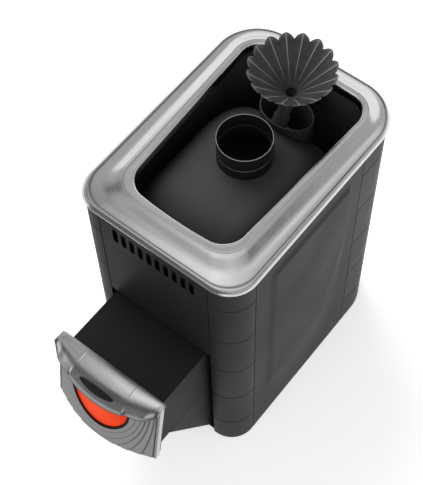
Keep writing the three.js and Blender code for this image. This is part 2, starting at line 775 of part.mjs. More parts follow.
function feedTube() {
  const bore = TUBE_RADIUS - TUBE_WALL;
  const collar = TUBE_RADIUS + SLEEVE_WALL;
  const top = TUBE_RADIUS;
  const stop = -STOP_DEPTH - STOP_HEIGHT;
  const profile = [
    [bore, -TUBE_LENGTH],
    [TUBE_RADIUS, -TUBE_LENGTH],
    [TUBE_RADIUS, stop],
    [collar, stop],
    [collar, -STOP_DEPTH],
    [TUBE_RADIUS, -STOP_DEPTH],
    [TUBE_RADIUS, top],
    [bore, top],
  ];
  const slope = (FUNNEL_RIM_Z - FUNNEL_THROAT_Z) / (FUNNEL_RADIUS - FUNNEL_THROAT);
  const under = FUNNEL_THROAT_Z - FUNNEL_SHEET - 2 * GAP;
  const reach = FUNNEL_RADIUS;
  const section = [
    [0, under],
    [FUNNEL_THROAT, under],
    [reach, under + slope * (reach - FUNNEL_THROAT)],
    [reach, FUNNEL_RIM_Z],
    [0, FUNNEL_RIM_Z],
  ];
  return leaning(turned(profile, [0, 0], TUBE_SIDES)).subtract(turned(section, [0, FUNNEL_Y]));
}

function pocketSleeve() {
  const top = -STOP_DEPTH - STOP_HEIGHT - GAP;
  const bore = TUBE_RADIUS + GAP;
  const outer = bore + SLEEVE_WALL;
  const foot = top - SLEEVE_LENGTH;
  const sleeve = turned([[bore, foot], [outer, foot], [outer, top], [bore, top]], [0, 0], TUBE_SIDES);
  const room = prismZ(pocketOutline(POCKET_SHEET + GAP), [POCKET_TOP - POCKET_DEPTH, FUNNEL_RIM_Z]);
  return leaning(sleeve).intersect(room).subtract(loaf(GAP, TUNNEL_BOTTOM));
}

// Door frame of reference
function doorGroup() {
  const group = new THREE.Group();
  group.position.set(0, DOOR_FOOT_Y, DOOR_FOOT_Z);
  group.rotation.x = -RAKE;
  return group;
}

// A solid that fills everything in front of a raked plane, at a distance behind the door's back.
function aheadOf(distance) {
  const far = CASING_W;
  const geometry = new THREE.BoxGeometry(2 * far, 2 * far, 4 * far);
  geometry.translate(0, distance - far, 0);
  geometry.applyMatrix4(new THREE.Matrix4().makeRotationX(-RAKE));
  geometry.translate(0, DOOR_FOOT_Y, DOOR_FOOT_Z);
  return solid(geometry);
}

// Height above the floor as a height along the raked door, at a distance behind the door's back.
const upDoor = (z, distance) => (z - DOOR_FOOT_Z + distance * Math.sin(RAKE)) / Math.cos(RAKE);

// Fuel tunnel, shelf and wedge
function fuelTunnel() {
  const t = TUNNEL_WALL;
  const y = [DOOR_FOOT_Y - TUNNEL_HALF, BOX_FRONT + TUNNEL_ENTRY];
  const inner = TUNNEL_HALF - t;
  const duct = block([-TUNNEL_HALF, TUNNEL_HALF], y, [TUNNEL_BOTTOM, TUNNEL_TOP])
    .subtract(block([-inner, inner], [y[0] - OVER, y[1] + OVER], [FLOOR_TOP, TUNNEL_TOP - t]));
  return duct.subtract(aheadOf(FRAME_REAR + GAP));
}

function tunnelShelf() {
  const half = TUNNEL_HALF - TUNNEL_WALL - GAP;
  const y = [DOOR_FOOT_Y, BOX_FRONT + TUNNEL_ENTRY];
  const plate = block([-half, half], y, [SHELF_Z, SHELF_Z + SHELF_SHEET]);
  return plate.subtract(aheadOf(FRAME_REAR + SHIELD_MARGIN));
}

function tunnelWedge() {
  const [z0, z1] = [BASE_SHEET + GAP, TUNNEL_BOTTOM - GAP];
  const side = (inset) => polygon([
    point2(-WEDGE_REACH + inset, z1 + inset),
    point2(WEDGE_FOOT + inset, z0 - inset),
    point2(WEDGE_BACK + inset, z0 - inset),
    point2(WEDGE_BACK + inset, z1 + inset),
  ]);
  const inner = TUNNEL_HALF - WEDGE_SHEET;
  const slope = Math.hypot(1, (WEDGE_REACH + WEDGE_FOOT) / (z1 - z0)) * WEDGE_SHEET;
  return prismX(side(0), [-TUNNEL_HALF, TUNNEL_HALF]).subtract(prismX(side(slope), [-inner, inner]));
}

// Ash drawer
function ashDrawer() {
  const y = [DRAWER_FRONT, DRAWER_FRONT + DRAWER_LENGTH];
  const z = [DRAWER_BOTTOM, DRAWER_BOTTOM + DRAWER_HEIGHT];
  const t = DRAWER_SHEET;
  return block([-DRAWER_HALF, DRAWER_HALF], y, z)
    .subtract(block([t - DRAWER_HALF, DRAWER_HALF - t], [y[0] + t, y[1] - t], [z[0] + t, z[1] + OVER]));
}

function drawerPull() {
  const z = DRAWER_BOTTOM + DRAWER_HEIGHT / 2;
  const half = PULL_WIDTH / 2;
  const back = DRAWER_FRONT - GAP;
  const legs = [-half, half].map((x) => rodY(PULL_ROD, [x, z], [back - PULL_REACH, back]));
  const grip = new THREE.CylinderGeometry(PULL_ROD, PULL_ROD, PULL_WIDTH + 2 * PULL_ROD, 12);
  grip.rotateZ(Math.PI / 2);
  grip.translate(0, back - PULL_REACH, z);
  return legs.reduce((all, leg) => all.add(leg), solid(grip));
}

// Door: bowed in plan. bow() is how far its face stands in front of its back plane.
const bow = (x) => DOOR_EDGE + DOOR_SAG * (1 - (x / DOOR_HALF) ** 2);
const across = (half, steps) => range(steps + 1).map((i) => mix(-half, half, i / steps));
const DOOR_STEPS = 20;

// Everything between the door's back plane and its face moved out by a distance.
function doorBulk(out, [z0, z1], half = DOOR_HALF) {
  const face = across(half, DOOR_STEPS).map((x) => point2(x, -bow(x) - out));
  return prismZ(polygon([...face, point2(half, 0), point2(-half, 0)]), [z0, z1]);
}

// A layer parallel to the door's face, between two distances out from it.
function doorLayer(from, to, half) {
  const outer = across(half, DOOR_STEPS).map((x) => point2(x, -bow(x) - to));
  const inner = across(half, DOOR_STEPS).map((x) => point2(x, -bow(x) - from)).reverse();
  return prismZ(polygon([...outer, ...inner]), [0, DOOR_H]);
}

// The window's half-moon grown by a margin and run through the door.
function windowCut(margin) {
  const shape = halfMoon(WINDOW_HALF + margin, WINDOW_DEPTH + margin, WINDOW_Z, margin);
  return prismY(shape, [-2 * (DOOR_EDGE + DOOR_SAG), 2 * DOOR_EDGE]);
}

const hinge = [-DOOR_HALF - HINGE_OUT, HINGE_BACK];

function doorPanel() {
  let door = doorBulk(0, [0, DOOR_H]);
  RIDGE_HALVES.forEach((half, i) => {
    const region = prismY(halfMoon(half, RIDGE_DEPTHS[i], RIDGE_Z), [-2 * (DOOR_EDGE + DOOR_SAG), 0]);
    door = door.add(doorBulk(RIDGE_STEP * (i + 1), [0, DOOR_H]).intersect(region));
  });
  const hollow = DOOR_HALF - DOOR_FLANGE;
  const cavity = across(hollow, DOOR_STEPS).map((x) => point2(x, DOOR_WALL - bow(x)));
  const edge = DOOR_EDGE;
  door = door.subtract(
    prismZ(polygon([...cavity, point2(hollow, OVER), point2(-hollow, OVER)]), [edge, DOOR_H - edge]),
  );
  door = door.subtract(windowCut(0));
  HINGE_HEIGHTS.forEach((z) => {
    const span = [z + LUG_HEIGHT + GAP, z + LUG_HEIGHT + GAP + KNUCKLE_HEIGHT];
    const arm = block([hinge[0] - PIN_RADIUS, OVER - DOOR_HALF], [OVER - DOOR_EDGE, -GAP], span);
    door = door.add(rod(KNUCKLE_RADIUS, hinge, span)).add(arm).subtract(rod(PIN_RADIUS + GAP, hinge, span));
  });
  return door;
}

function windowBead() {
  const layer = doorLayer(RIDGES + GAP, RIDGES + GAP + BEAD_RISE, WINDOW_HALF + 2 * BEAD_WIDTH);
  return layer.intersect(windowCut(BEAD_WIDTH)).subtract(windowCut(0));
}

// Depths behind the door's wall, counted inwards from its inner face.
function windowGlass() {
  const near = -DOOR_WALL - GAP;
  return doorLayer(near - GLASS_THICK, near, DOOR_HALF).intersect(windowCut(GLASS_LAP));
}

function glassGasket() {
  const near = -DOOR_WALL - 2 * GAP - GLASS_THICK;
  const layer = doorLayer(near - GASKET_THICK, near, DOOR_HALF);
  return layer.intersect(windowCut(GLASS_LAP)).subtract(windowCut(-OVER));
}

function glassRetainer() {
  const near = -DOOR_WALL - 3 * GAP - GLASS_THICK - GASKET_THICK;
  const plate = doorLayer(near - RETAINER_SHEET, near, DOOR_HALF).intersect(windowCut(RETAINER_LAP));
  const inner = DOOR_WALL + GAP;
  const margin = (GLASS_LAP + RETAINER_LAP) / 2;
  const top = WINDOW_Z - PIN_RADIUS;
  const spots = [-1, 1].flatMap((side) => [
    [side * (WINDOW_HALF + margin), top],
    [side * (WINDOW_HALF + margin) * Math.SQRT1_2, WINDOW_Z - (WINDOW_DEPTH + margin) * Math.SQRT1_2],
  ]);
  const space = doorLayer(near - RETAINER_SHEET, -inner, DOOR_HALF);
  const posts = spots.map((spot) => rodY(PIN_RADIUS, spot, [-DOOR_EDGE - DOOR_SAG, 0]).intersect(space));
  return posts.reduce((all, post) => all.add(post), plate.subtract(windowCut(-OVER)));
}

function heatShield() {
  const half = TUNNEL_HALF - TUNNEL_WALL - SHIELD_MARGIN;
  const y = [FRAME_FRONT + SHIELD_REACH, FRAME_FRONT + SHIELD_REACH + SHIELD_SHEET];
  const z = [upDoor(FLOOR_TOP, y[0]) + SHIELD_MARGIN, upDoor(TUNNEL_TOP - TUNNEL_WALL, y[1]) - SHIELD_MARGIN];
  const plate = block([-half, half], y, z).subtract(windowCut(0));
  const room = doorBulk(-DOOR_WALL - GAP, [0, DOOR_H]).add(block([-half, half], [-GAP, y[1]], z));
  const spots = [-1, 1].flatMap((side) => z.map((edge, i) => [
    side * (half - STUD_INSET),
    edge + (i ? -STUD_INSET : STUD_INSET),
  ]));
  const studs = spots.map((spot) => rodY(SHIELD_STUD, spot, [-DOOR_EDGE - DOOR_SAG, y[1]]).intersect(room));
  return studs.reduce((all, stud) => all.add(stud), plate);
}

// Frame on the tunnel's mouth, with the lugs that carry the hinge pins
function frameLimits() {
  const middle = (FRAME_FRONT + FRAME_REAR) / 2;
  const half = TUNNEL_HALF - TUNNEL_WALL;
  return { half, bottom: upDoor(FLOOR_TOP, middle), top: upDoor(TUNNEL_TOP - TUNNEL_WALL, middle) };
}

function doorFrame() {
  const { half, bottom, top } = frameLimits();
  const outer = half + FRAME_SIDE;
  let frame = block([-outer, outer], [FRAME_FRONT, FRAME_REAR], [bottom - FRAME_FOOT, top + FRAME_SIDE]);
  HINGE_HEIGHTS.forEach((z) => {
    const span = [z, z + LUG_HEIGHT];
    const arm = block([hinge[0], -half - SEAL_LAND - SEAL_WIDTH - GAP], [2 * GAP, FRAME_REAR], span);
    frame = frame.add(rod(KNUCKLE_RADIUS, hinge, span)).add(arm).subtract(rod(PIN_RADIUS + GAP, hinge, span));
  });
  return frame.subtract(block([-half, half], [0, 2 * FRAME_REAR], [bottom, top]));
}

function doorSeal() {
  const { half, bottom, top } = frameLimits();
  const y = [GAP, GAP + SEAL_THICK];
  const inner = half + SEAL_LAND;
  const outer = inner + SEAL_WIDTH;
  return block([-outer, outer], y, [bottom - FRAME_FOOT + GAP, top + SEAL_LAND + SEAL_WIDTH])
    .subtract(block([-inner, inner], [0, 2 * SEAL_THICK], [bottom - SEAL_LAND, top + SEAL_LAND]));
}

function hingePin(z) {
  const top = z + LUG_HEIGHT + 2 * GAP + KNUCKLE_HEIGHT;
  const crown = top + PIN_HEAD_HEIGHT;
  return turned(
    [[0, z], [PIN_RADIUS, z], [PIN_RADIUS, top], [PIN_HEAD, top], [PIN_HEAD, crown], [0, crown]],
    hinge,
    PIN_SIDES,
  );
}

// Visor: bent sheet over the door's top, standing furthest out between its two creases
const VISOR_STEPS = 26;
const visorShare = (x) => {
  return THREE.MathUtils.smoothstep(VISOR_HALF - Math.abs(x), 0, VISOR_HALF - VISOR_CREASE);
};
const visorNose = (x) => {
  const inside = Math.min(Math.abs(x), DOOR_HALF);
  return bow(inside) + RIDGES + GAP + VISOR_SHEET + mix(VISOR_END_NOSE, VISOR_NOSE, visorShare(x));
};
const VISOR_TOP = DOOR_H + 2 * GAP + VISOR_SHEET;

function doorVisor() {
  const t = VISOR_SHEET;
  const rings = across(VISOR_HALF, VISOR_STEPS).map((x) => {
    const nose = visorNose(x);
    const drop = mix(VISOR_END_DROP, VISOR_DROP, visorShare(x));
    const outer = [
      [VISOR_REAR, VISOR_TOP],
      [-nose * VISOR_CROWN_AT, VISOR_TOP + VISOR_CROWN],
      [-nose * VISOR_BEND_AT, VISOR_TOP],
      [-nose * VISOR_ROUND_AT, VISOR_TOP - VISOR_ROUND],
      [-nose, VISOR_TOP - VISOR_SHOULDER],
      [-nose, VISOR_TOP - drop],
    ];
    const inner = [
      [VISOR_REAR, VISOR_TOP - t],
      [-nose * VISOR_CROWN_AT, VISOR_TOP + VISOR_CROWN - t],
      [t / 2 - nose * VISOR_BEND_AT, VISOR_TOP - t],
      [t - nose * VISOR_ROUND_AT, VISOR_TOP - VISOR_ROUND - t],
      [t - nose, VISOR_TOP - VISOR_SHOULDER - t / 2],
      [t - nose, VISOR_TOP - drop],
    ];
    return [...outer, ...inner.reverse()].map(([y, z]) => point3(x, y, z));
  });
  const clear = doorBulk(RIDGES + GAP, [0, DOOR_H + GAP], DOOR_HALF);
  return loft(rings, (p) => point2(p.y, p.z)).subtract(clear);
}

function badgePlate() {
  const step = (2 * VISOR_HALF) / VISOR_STEPS;
  const xs = across(VISOR_HALF, VISOR_STEPS).filter((x) => Math.abs(x) < BADGE_HALF + step);
  const layer = (out) => xs.map((x) => point2(x, -visorNose(x) - out));
  const slab = prismZ(polygon([...layer(GAP + BADGE_RISE), ...layer(GAP).reverse()]), [0, DOOR_H]);
  const z = VISOR_TOP - (VISOR_SHOULDER + VISOR_DROP) / 2;
  const oval = polygon(oval2([0, z], [BADGE_HALF, BADGE_HEIGHT / 2], 6));
  return slab.intersect(prismY(oval, [-2 * visorNose(0), 0]));
}

// Assembly
const stove = new THREE.Group();
const sides = [["left", -1], ["right", 1]];

add(stove, "base_plate", basePlate(), BLACK_STEEL);
add(stove, "front_panel", frontPanel(), ANTHRACITE);
add(stove, "rear_panel", rearPanel(), ANTHRACITE);
rearScrews().forEach((head, i) => add(stove, `rear_panel_screw_${i + 1}`, head, ZINC));
sides.forEach(([name, side]) => {
  add(stove, `side_panel_${name}`, sidePanel(side), ANTHRACITE);
  add(stove, `corner_post_front_${name}`, cornerPost(side, true), POST_PAINT);
  add(stove, `corner_post_rear_${name}`, cornerPost(side, false), POST_PAINT);
  add(stove, `firebox_support_${name}`, fireboxSupport(side), BLACK_STEEL);
  add(stove, `grate_ledge_${name}`, grateLedge(side), BLACK_STEEL);
});
add(stove, "top_rim", topRim(), STAINLESS);
add(stove, "hopper_liner", hopperLiner(), BLACK_STEEL);
add(stove, "stone_tray", stoneTray(), BLACK_STEEL);
add(stove, "firebox_shell", fireboxShell(), BOX_STEEL);
add(stove, "firebox_floor", fireboxFloor(), BLACK_STEEL);
add(stove, "fire_grate", fireGrate(), CAST_IRON);
add(stove, "flame_baffle", flameBaffle(), BLACK_STEEL);
add(stove, "collar_stub", collarStub(), COLLAR_STEEL);
add(stove, "flue_ring", flueRing(), COLLAR_STEEL);
add(stove, "steam_pocket", steamPocket(), BOX_STEEL);
add(stove, "pocket_sleeve", pocketSleeve(), BOX_STEEL);
add(stove, "feed_tube", feedTube(), FUNNEL_STEEL);
add(stove, "funnel", funnel(), FUNNEL_STEEL);
add(stove, "fuel_tunnel", fuelTunnel(), BLACK_STEEL);
add(stove, "tunnel_shelf", tunnelShelf(), BLACK_STEEL);
add(stove, "tunnel_wedge", tunnelWedge(), ANTHRACITE);
add(stove, "ash_drawer", ashDrawer(), ZINC);
add(stove, "drawer_pull", drawerPull(), ZINC);

const front = doorGroup();
stove.add(front);
add(front, "door_frame", doorFrame(), BLACK_STEEL);
add(front, "door_seal", doorSeal(), ROPE);
add(front, "hinge_pin_lower", hingePin(HINGE_HEIGHTS[0]), ZINC);
add(front, "hinge_pin_upper", hingePin(HINGE_HEIGHTS[1]), ZINC);
add(front, "door_panel", doorPanel(), DOOR_STEEL);
add(front, "door_visor", doorVisor(), STAINLESS);
add(front, "badge_plate", badgePlate(), DOOR_STEEL);
add(front, "window_bead", windowBead(), BLACK_STEEL);
add(front, "window_glass", windowGlass(), GLOW_GLASS);
add(front, "glass_gasket", glassGasket(), ROPE);
add(front, "glass_retainer", glassRetainer(), BLACK_STEEL);
add(front, "heat_shield", heatShield(), BLACK_STEEL);

// The part stands on its origin, in the middle of its depth.
stove.updateMatrixWorld(true);
const reach = new THREE.Box3().setFromObject(stove, true);
stove.position.y = -(reach.min.y + reach.max.y) / 2;
stove.updateMatrixWorld(true);

export default stove;
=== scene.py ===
"""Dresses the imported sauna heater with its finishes, smooth sheet metal, a plain studio and the camera."""

import logging
from dataclasses import dataclass
from enum import Enum
from math import copysign, cos, pi, radians, sin, sqrt
from typing import Callable, Sequence

import bmesh
import bpy
import numpy as np
from mathutils import Matrix, Vector
from mathutils.kdtree import KDTree


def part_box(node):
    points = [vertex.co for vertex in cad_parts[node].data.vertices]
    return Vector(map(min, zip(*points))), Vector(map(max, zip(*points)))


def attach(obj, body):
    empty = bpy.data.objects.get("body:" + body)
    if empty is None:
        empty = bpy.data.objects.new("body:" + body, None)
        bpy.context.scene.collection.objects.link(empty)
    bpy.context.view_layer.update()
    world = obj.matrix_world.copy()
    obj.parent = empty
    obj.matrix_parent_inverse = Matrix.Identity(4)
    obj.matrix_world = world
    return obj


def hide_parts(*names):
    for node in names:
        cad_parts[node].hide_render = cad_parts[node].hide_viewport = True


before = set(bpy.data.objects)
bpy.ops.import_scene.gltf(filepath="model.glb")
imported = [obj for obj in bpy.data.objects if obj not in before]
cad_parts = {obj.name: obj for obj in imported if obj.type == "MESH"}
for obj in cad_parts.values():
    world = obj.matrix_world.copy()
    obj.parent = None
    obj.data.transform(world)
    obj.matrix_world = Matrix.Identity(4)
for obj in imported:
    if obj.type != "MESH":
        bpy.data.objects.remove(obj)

LOG = logging.getLogger("heater")
MM = 0.001
FRONT_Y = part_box("front_panel")[0].y
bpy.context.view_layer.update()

# Shared values; GAP is in millimetres, MERGE and SLIVER in metres and angles in degrees
GAP = 0.3
MERGE = 1e-6
SLIVER = 1e-7
TINY = 1e-9
FLAT_ANGLE = 0.8
EDGE_ANGLE = 40
EDGE_STEPS = 2
MOST_NOISE = (0.3, 0.7)
WHOLE = (0, 1)
WHITE = (1, 1, 1, 1)
BLACK = (0, 0, 0, 1)
CORNER_STEPS = 6
PIPE_SIDES = 64
ROUND_SIDES = 96
MIX_COLOURS = (6, 7)
MIX_RESULT = 2

Point2 = tuple[float, float]
Points = tuple[Point2, ...]
Point3 = tuple[float, float, float]
Point4 = tuple[float, float, float, float]
Colour = Point3
Array = np.ndarray
Piece = bpy.types.Object
Socket = bpy.types.NodeSocket
# Rules that give shares of painted highlight, painted shade or glow for points.
LightAndWearRule = Callable[[Array], Array]
MADE: dict[str, bpy.types.Material] = {}


class Body(Enum):
    """The rigid bodies that pieces ride on."""

    STOVE = "stove"
    DOOR = "door"
    DRAWER = "ash_drawer"
    FUNNEL = "funnel"


class Side(Enum):
    """The heater's sides, by the direction of x."""

    LEFT = -1
    RIGHT = 1


class Crease(Enum):
    """The angles in degrees past which an edge shows as a sharp one."""

    SLIGHT = 24
    LOW = 30
    MIDDLE = 40
    FIRM = 45
    HIGH = 50
    STEEP = 60


class Sign(Enum):
    """What a material does with two values."""

    PLUS = "ADD"
    TIMES = "MULTIPLY"
    MOST = "MAXIMUM"


class Cut(Enum):
    """What a tool leaves of a piece."""

    AWAY = "DIFFERENCE"
    COMMON = "INTERSECT"


# Node tools and finishes


class Nodes:
    """Adds nodes to a tree and wires them."""

    def __init__(self, tree: bpy.types.NodeTree) -> None:
        """Keeps the tree that the nodes go into."""
        self.tree = tree

    def feed(self, socket: Socket, value: object) -> None:
        """Links a socket to another, or sets its plain value.

        Args:
            socket: the input.
            value: an output socket, a number, a colour or a vector.
        """
        if isinstance(value, bpy.types.NodeSocket):
            self.tree.links.new(value, socket)
        else:
            socket.default_value = value

    def node(self, kind: str, settings: dict[str, str] | None = None, **feeds: object) -> bpy.types.Node:
        """Adds a node.

        Args:
            kind: the node's type name.
            settings: choices to set on it.
            feeds: sockets or values for its inputs, named with underscores for spaces.

        Returns:
            The new node.
        """
        made = self.tree.nodes.new(kind)
        for key, value in (settings or {}).items():
            setattr(made, key, value)
        for key, value in feeds.items():
            self.feed(made.inputs[key.replace("_", " ")], value)
        return made

    def reckon(self, sign: Sign, one: Socket, other: object) -> Socket:
        """Works out one value from two.

        Args:
            sign: what is done with them.
            one: the first value.
            other: the second value.

        Returns:
            The result.
        """
        made = self.node("ShaderNodeMath", {"operation": sign.value})
        self.feed(made.inputs[0], one)
        self.feed(made.inputs[1], other)
        return made.outputs[0]


class Wiring(Nodes):
    """Lays out the nodes of one material round a principled shader."""

    def __init__(self, name: str) -> None:
        """Starts a material.

        Args:
            name: the material's name.
        """
        self.material = bpy.data.materials.new(name)
        self.material.use_nodes = True
        super().__init__(self.material.node_tree)
        self.tree.nodes.clear()
        self.shader = self.node("ShaderNodeBsdfPrincipled")
        self.node("ShaderNodeOutputMaterial", Surface=self.shader.outputs[0])

    def shade(self, **values: object) -> None:
        """Feeds the shader's inputs, named with underscores for spaces."""
        for key, value in values.items():
            self.feed(self.shader.inputs[key.replace("_", " ")], value)

    def coords(self, scale: Point3 = (1, 1, 1)) -> Socket:
        """Gives object coordinates, stretched along each axis."""
        place = self.node("ShaderNodeTexCoord").outputs["Object"]
        return self.node("ShaderNodeMapping", Vector=place, Scale=scale).outputs[0]

    def noise(self, vector: Socket, scale: float, detail: float) -> Socket:
        """Gives a noise between 0 and 1, by its fineness per metre and its octaves."""
        return self.node("ShaderNodeTexNoise", Vector=vector, Scale=scale, Detail=detail).outputs["Fac"]

    def spread(self, value: Socket, given: Point2, wanted: Point2) -> Socket:
        """Maps a range of values onto another one, clamped."""
        ends = {"From_Min": given[0], "From_Max": given[1], "To_Min": wanted[0], "To_Max": wanted[1]}
        return self.node("ShaderNodeMapRange", Value=value, **ends).outputs[0]

    def mix(self, factor: Socket, low: object, high: object) -> Socket:
        """Mixes two colours.

        Args:
            factor: 0 for the first and 1 for the second.
            low: first colour or colour output.
            high: second colour or colour output.

        Returns:
            The mixed colour.
        """
        made = self.node("ShaderNodeMix", {"data_type": "RGBA"})
        self.feed(made.inputs[0], factor)
        for number, value in zip(MIX_COLOURS, (low, high)):
            given = value if isinstance(value, bpy.types.NodeSocket) else (*value, 1)
            self.feed(made.inputs[number], given)
        return made.outputs[MIX_RESULT]

    def bump(self, height: Socket, strength: float, distance: float) -> None:
        """Roughens the shader's normal; a height of 1 stands for the distance in metres."""
        made = self.node("ShaderNodeBump", Strength=strength, Distance=distance, Height=height)
        self.shade(Normal=made.outputs[0])

    def light_and_wear(self) -> Socket:
        """Gives the share that a mesh stores for its edges and folds, which each finish reads as painted
        highlight, painted shade, glow or worn paint.
        """
        return self.node("ShaderNodeAttribute", {"attribute_name": "light_and_wear"}).outputs["Fac"]


@dataclass(frozen=True)
class Finish:
    """A surface finish and the record's slot that it belongs to."""

    name: str
    slot: str
    colour: Colour
    roughness: float
    uneven: Point2 = (-0.05, 0.05)

    def wire(self, wiring: Wiring) -> None:
        """Wires the finish's nodes; each kind of finish has its own."""
        raise NotImplementedError

    def tone(self, factor: float) -> Colour:
        """Gives the finish's colour made lighter or darker by a factor."""
        return tuple(min(1.0, c * factor) for c in self.colour)

    def tones(self, factors: Point2) -> tuple[Colour, Colour]:
        """Gives a darker and a lighter tone of the finish's colour."""
        return self.tone(factors[0]), self.tone(factors[1])

    def gloss(self, wiring: Wiring, pattern: Socket, given: Point2 = MOST_NOISE) -> Socket:
        """Gives a roughness that follows a pattern's values, round the finish's own."""
        low, high = self.uneven
        return wiring.spread(pattern, given, (self.roughness + low, self.roughness + high))

    def material(self) -> bpy.types.Material:
        """Makes the finish's material on first use.

        Returns:
            The material.
        """
        if self.name not in MADE:
            wiring = Wiring(f"{self.name}_finish")
            self.wire(wiring)
            MADE[self.name] = wiring.material
        return MADE[self.name]


@dataclass(frozen=True)
class SheetPaint(Finish):
    """Matte heat-proof paint on sheet steel: fine texture, faint clouds and rubbed edges."""

    specular: float = 0.3
    clouds: float = 0.1
    cloud_noise: Point2 = (5, 3)
    speckle_noise: Point2 = (1500, 2)
    speckle_span: Point2 = (0.35, 0.75)
    speckle_share: float = 0.25
    speckle_tone: float = 1.8
    rubbed_tone: float = 5.5
    peel_noise: Point2 = (900, 3)
    peel: Point2 = (0.1, 0.0004)

    def wire(self, wiring: Wiring) -> None:
        """Wires clouds, speckle, worn edges and orange peel.

        Args:
            wiring: the material's nodes.
        """
        place = wiring.coords()
        clouds = wiring.noise(place, *self.cloud_noise)
        speckle = wiring.noise(place, *self.speckle_noise)
        shares = (1 - self.clouds, 1 + self.clouds)
        colour = wiring.mix(wiring.spread(clouds, MOST_NOISE, WHOLE), *self.tones(shares))
        grains = wiring.spread(speckle, self.speckle_span, (0, self.speckle_share))
        colour = wiring.mix(grains, colour, self.tone(self.speckle_tone))
        colour = wiring.mix(wiring.light_and_wear(), colour, self.tone(self.rubbed_tone))
        rough = self.gloss(wiring, clouds)
        wiring.shade(Base_Color=colour, Roughness=rough, Specular_IOR_Level=self.specular)
        wiring.bump(wiring.noise(place, *self.peel_noise), *self.peel)


@dataclass(frozen=True)
class BrushedSteel(Finish):
    """Bare stainless steel with a brushed grain, faint smears and painted shade in its lines."""

    uneven: Point2 = (-0.05, 0.06)
    grain: Point3 = (700, 60, 700)
    grain_noise: Point2 = (1.0, 4)
    contrast: float = 0.1
    relief: float = 0.06
    relief_height: float = 0.0002
    shade_tone: float = 0.12
    smear_noise: Point2 = (9, 4)
    streak_gloss: Point2 = (-0.03, 0.03)
    brushing: float = 0.25

    def wire(self, wiring: Wiring) -> None:
        """Wires the grain into colour, gloss and bump, and the painted shade over it.

        Args:
            wiring: the material's nodes.
        """
        grain = wiring.noise(wiring.coords(self.grain), *self.grain_noise)
        smears = wiring.noise(wiring.coords(), *self.smear_noise)
        streak = wiring.spread(grain, MOST_NOISE, WHOLE)
        colour = wiring.mix(streak, *self.tones((1 - self.contrast, 1 + self.contrast)))
        # Painted shade: the stored share darkens the steel in the rim's lines, the door's steps and the
        # visor's edges.
        colour = wiring.mix(wiring.light_and_wear(), colour, self.tone(self.shade_tone))
        streaks = wiring.spread(grain, MOST_NOISE, self.streak_gloss)
        rough = wiring.reckon(Sign.PLUS, self.gloss(wiring, smears), streaks)
        wiring.shade(Base_Color=colour, Metallic=1.0, Roughness=rough, Anisotropic=self.brushing)
        wiring.bump(grain, self.relief, self.relief_height)


@dataclass(frozen=True)
class TurnedSteel(Finish):
    """Dark rolled steel with fine rings round it and painted highlights on its edges."""

    uneven: Point2 = (-0.06, 0.08)
    rings: float = 500.0
    ring_run: float = 6.0
    ring_noise: Point2 = (1.0, 3)
    ring_tones: Point2 = (0.8, 1.25)
    cloud_noise: Point2 = (14, 3)
    rubbed: Colour = (0.42, 0.42, 0.42)
    metal: float = 0.15
    specular: float = 0.3
    relief: Point2 = (0.08, 0.0002)

    def wire(self, wiring: Wiring) -> None:
        """Wires rolling rings, clouds and painted edge highlights.

        Args:
            wiring: the material's nodes.
        """
        stretch = (self.ring_run, self.ring_run, self.rings)
        rings = wiring.noise(wiring.coords(stretch), *self.ring_noise)
        clouds = wiring.noise(wiring.coords(), *self.cloud_noise)
        colour = wiring.mix(wiring.spread(rings, MOST_NOISE, WHOLE), *self.tones(self.ring_tones))
        # Painted highlight: the stored share lightens the dark steel on the collar's rim and seam and on the
        # funnel's crests and rim.
        colour = wiring.mix(wiring.light_and_wear(), colour, self.rubbed)
        rough = self.gloss(wiring, clouds)
        wiring.shade(Base_Color=colour, Metallic=self.metal, Roughness=rough)
        wiring.shade(Specular_IOR_Level=self.specular)
        wiring.bump(rings, *self.relief)


@dataclass(frozen=True)
class CastIron(Finish):
    """Sand-cast iron: dark, dull and pitted."""

    uneven: Point2 = (-0.08, 0.08)
    pit_noise: Point2 = (420, 4)
    cloud_noise: Point2 = (20, 3)
    cloud_tones: Point2 = (0.7, 1.4)
    metal: float = 0.3
    relief: Point2 = (0.5, 0.0006)

    def wire(self, wiring: Wiring) -> None:
        """Wires pits and dull clouds.

        Args:
            wiring: the material's nodes.
        """
        place = wiring.coords()
        pits = wiring.noise(place, *self.pit_noise)
        clouds = wiring.noise(place, *self.cloud_noise)
        colour = wiring.mix(clouds, *self.tones(self.cloud_tones))
        wiring.shade(Base_Color=colour, Roughness=self.gloss(wiring, pits), Metallic=self.metal)
        wiring.bump(pits, *self.relief)


@dataclass(frozen=True)
class HotGlass(Finish):
    """Heat-proof glass with the fire behind it painted on as a glow."""

    flame: Colour = (1.0, 0.072, 0.01)
    flame_stretch: Point3 = (1, 1, 0.5)
    flame_noise: Point2 = (26, 2)
    flame_span: Point2 = (0.3, 0.65)
    flame_share: Point2 = (0.6, 1)
    body: Colour = (0.05, 0.006, 0.002)
    specular: float = 0.08
    glow: float = 0.95

    def wire(self, wiring: Wiring) -> None:
        """Wires a slow flame pattern into the glow.

        Args:
            wiring: the material's nodes.
        """
        flames = wiring.noise(wiring.coords(self.flame_stretch), *self.flame_noise)
        flicker = wiring.spread(flames, self.flame_span, self.flame_share)
        # Painted light: the glass emits the fire's glow, strongest in the heart stored on the pane.
        heart = wiring.reckon(Sign.TIMES, wiring.light_and_wear(), flicker)
        wiring.shade(
            Base_Color=(*self.body, 1),
            Roughness=self.roughness,
            Specular_IOR_Level=self.specular,
            Emission_Color=wiring.mix(heart, self.colour, self.flame),
            Emission_Strength=self.glow,
        )


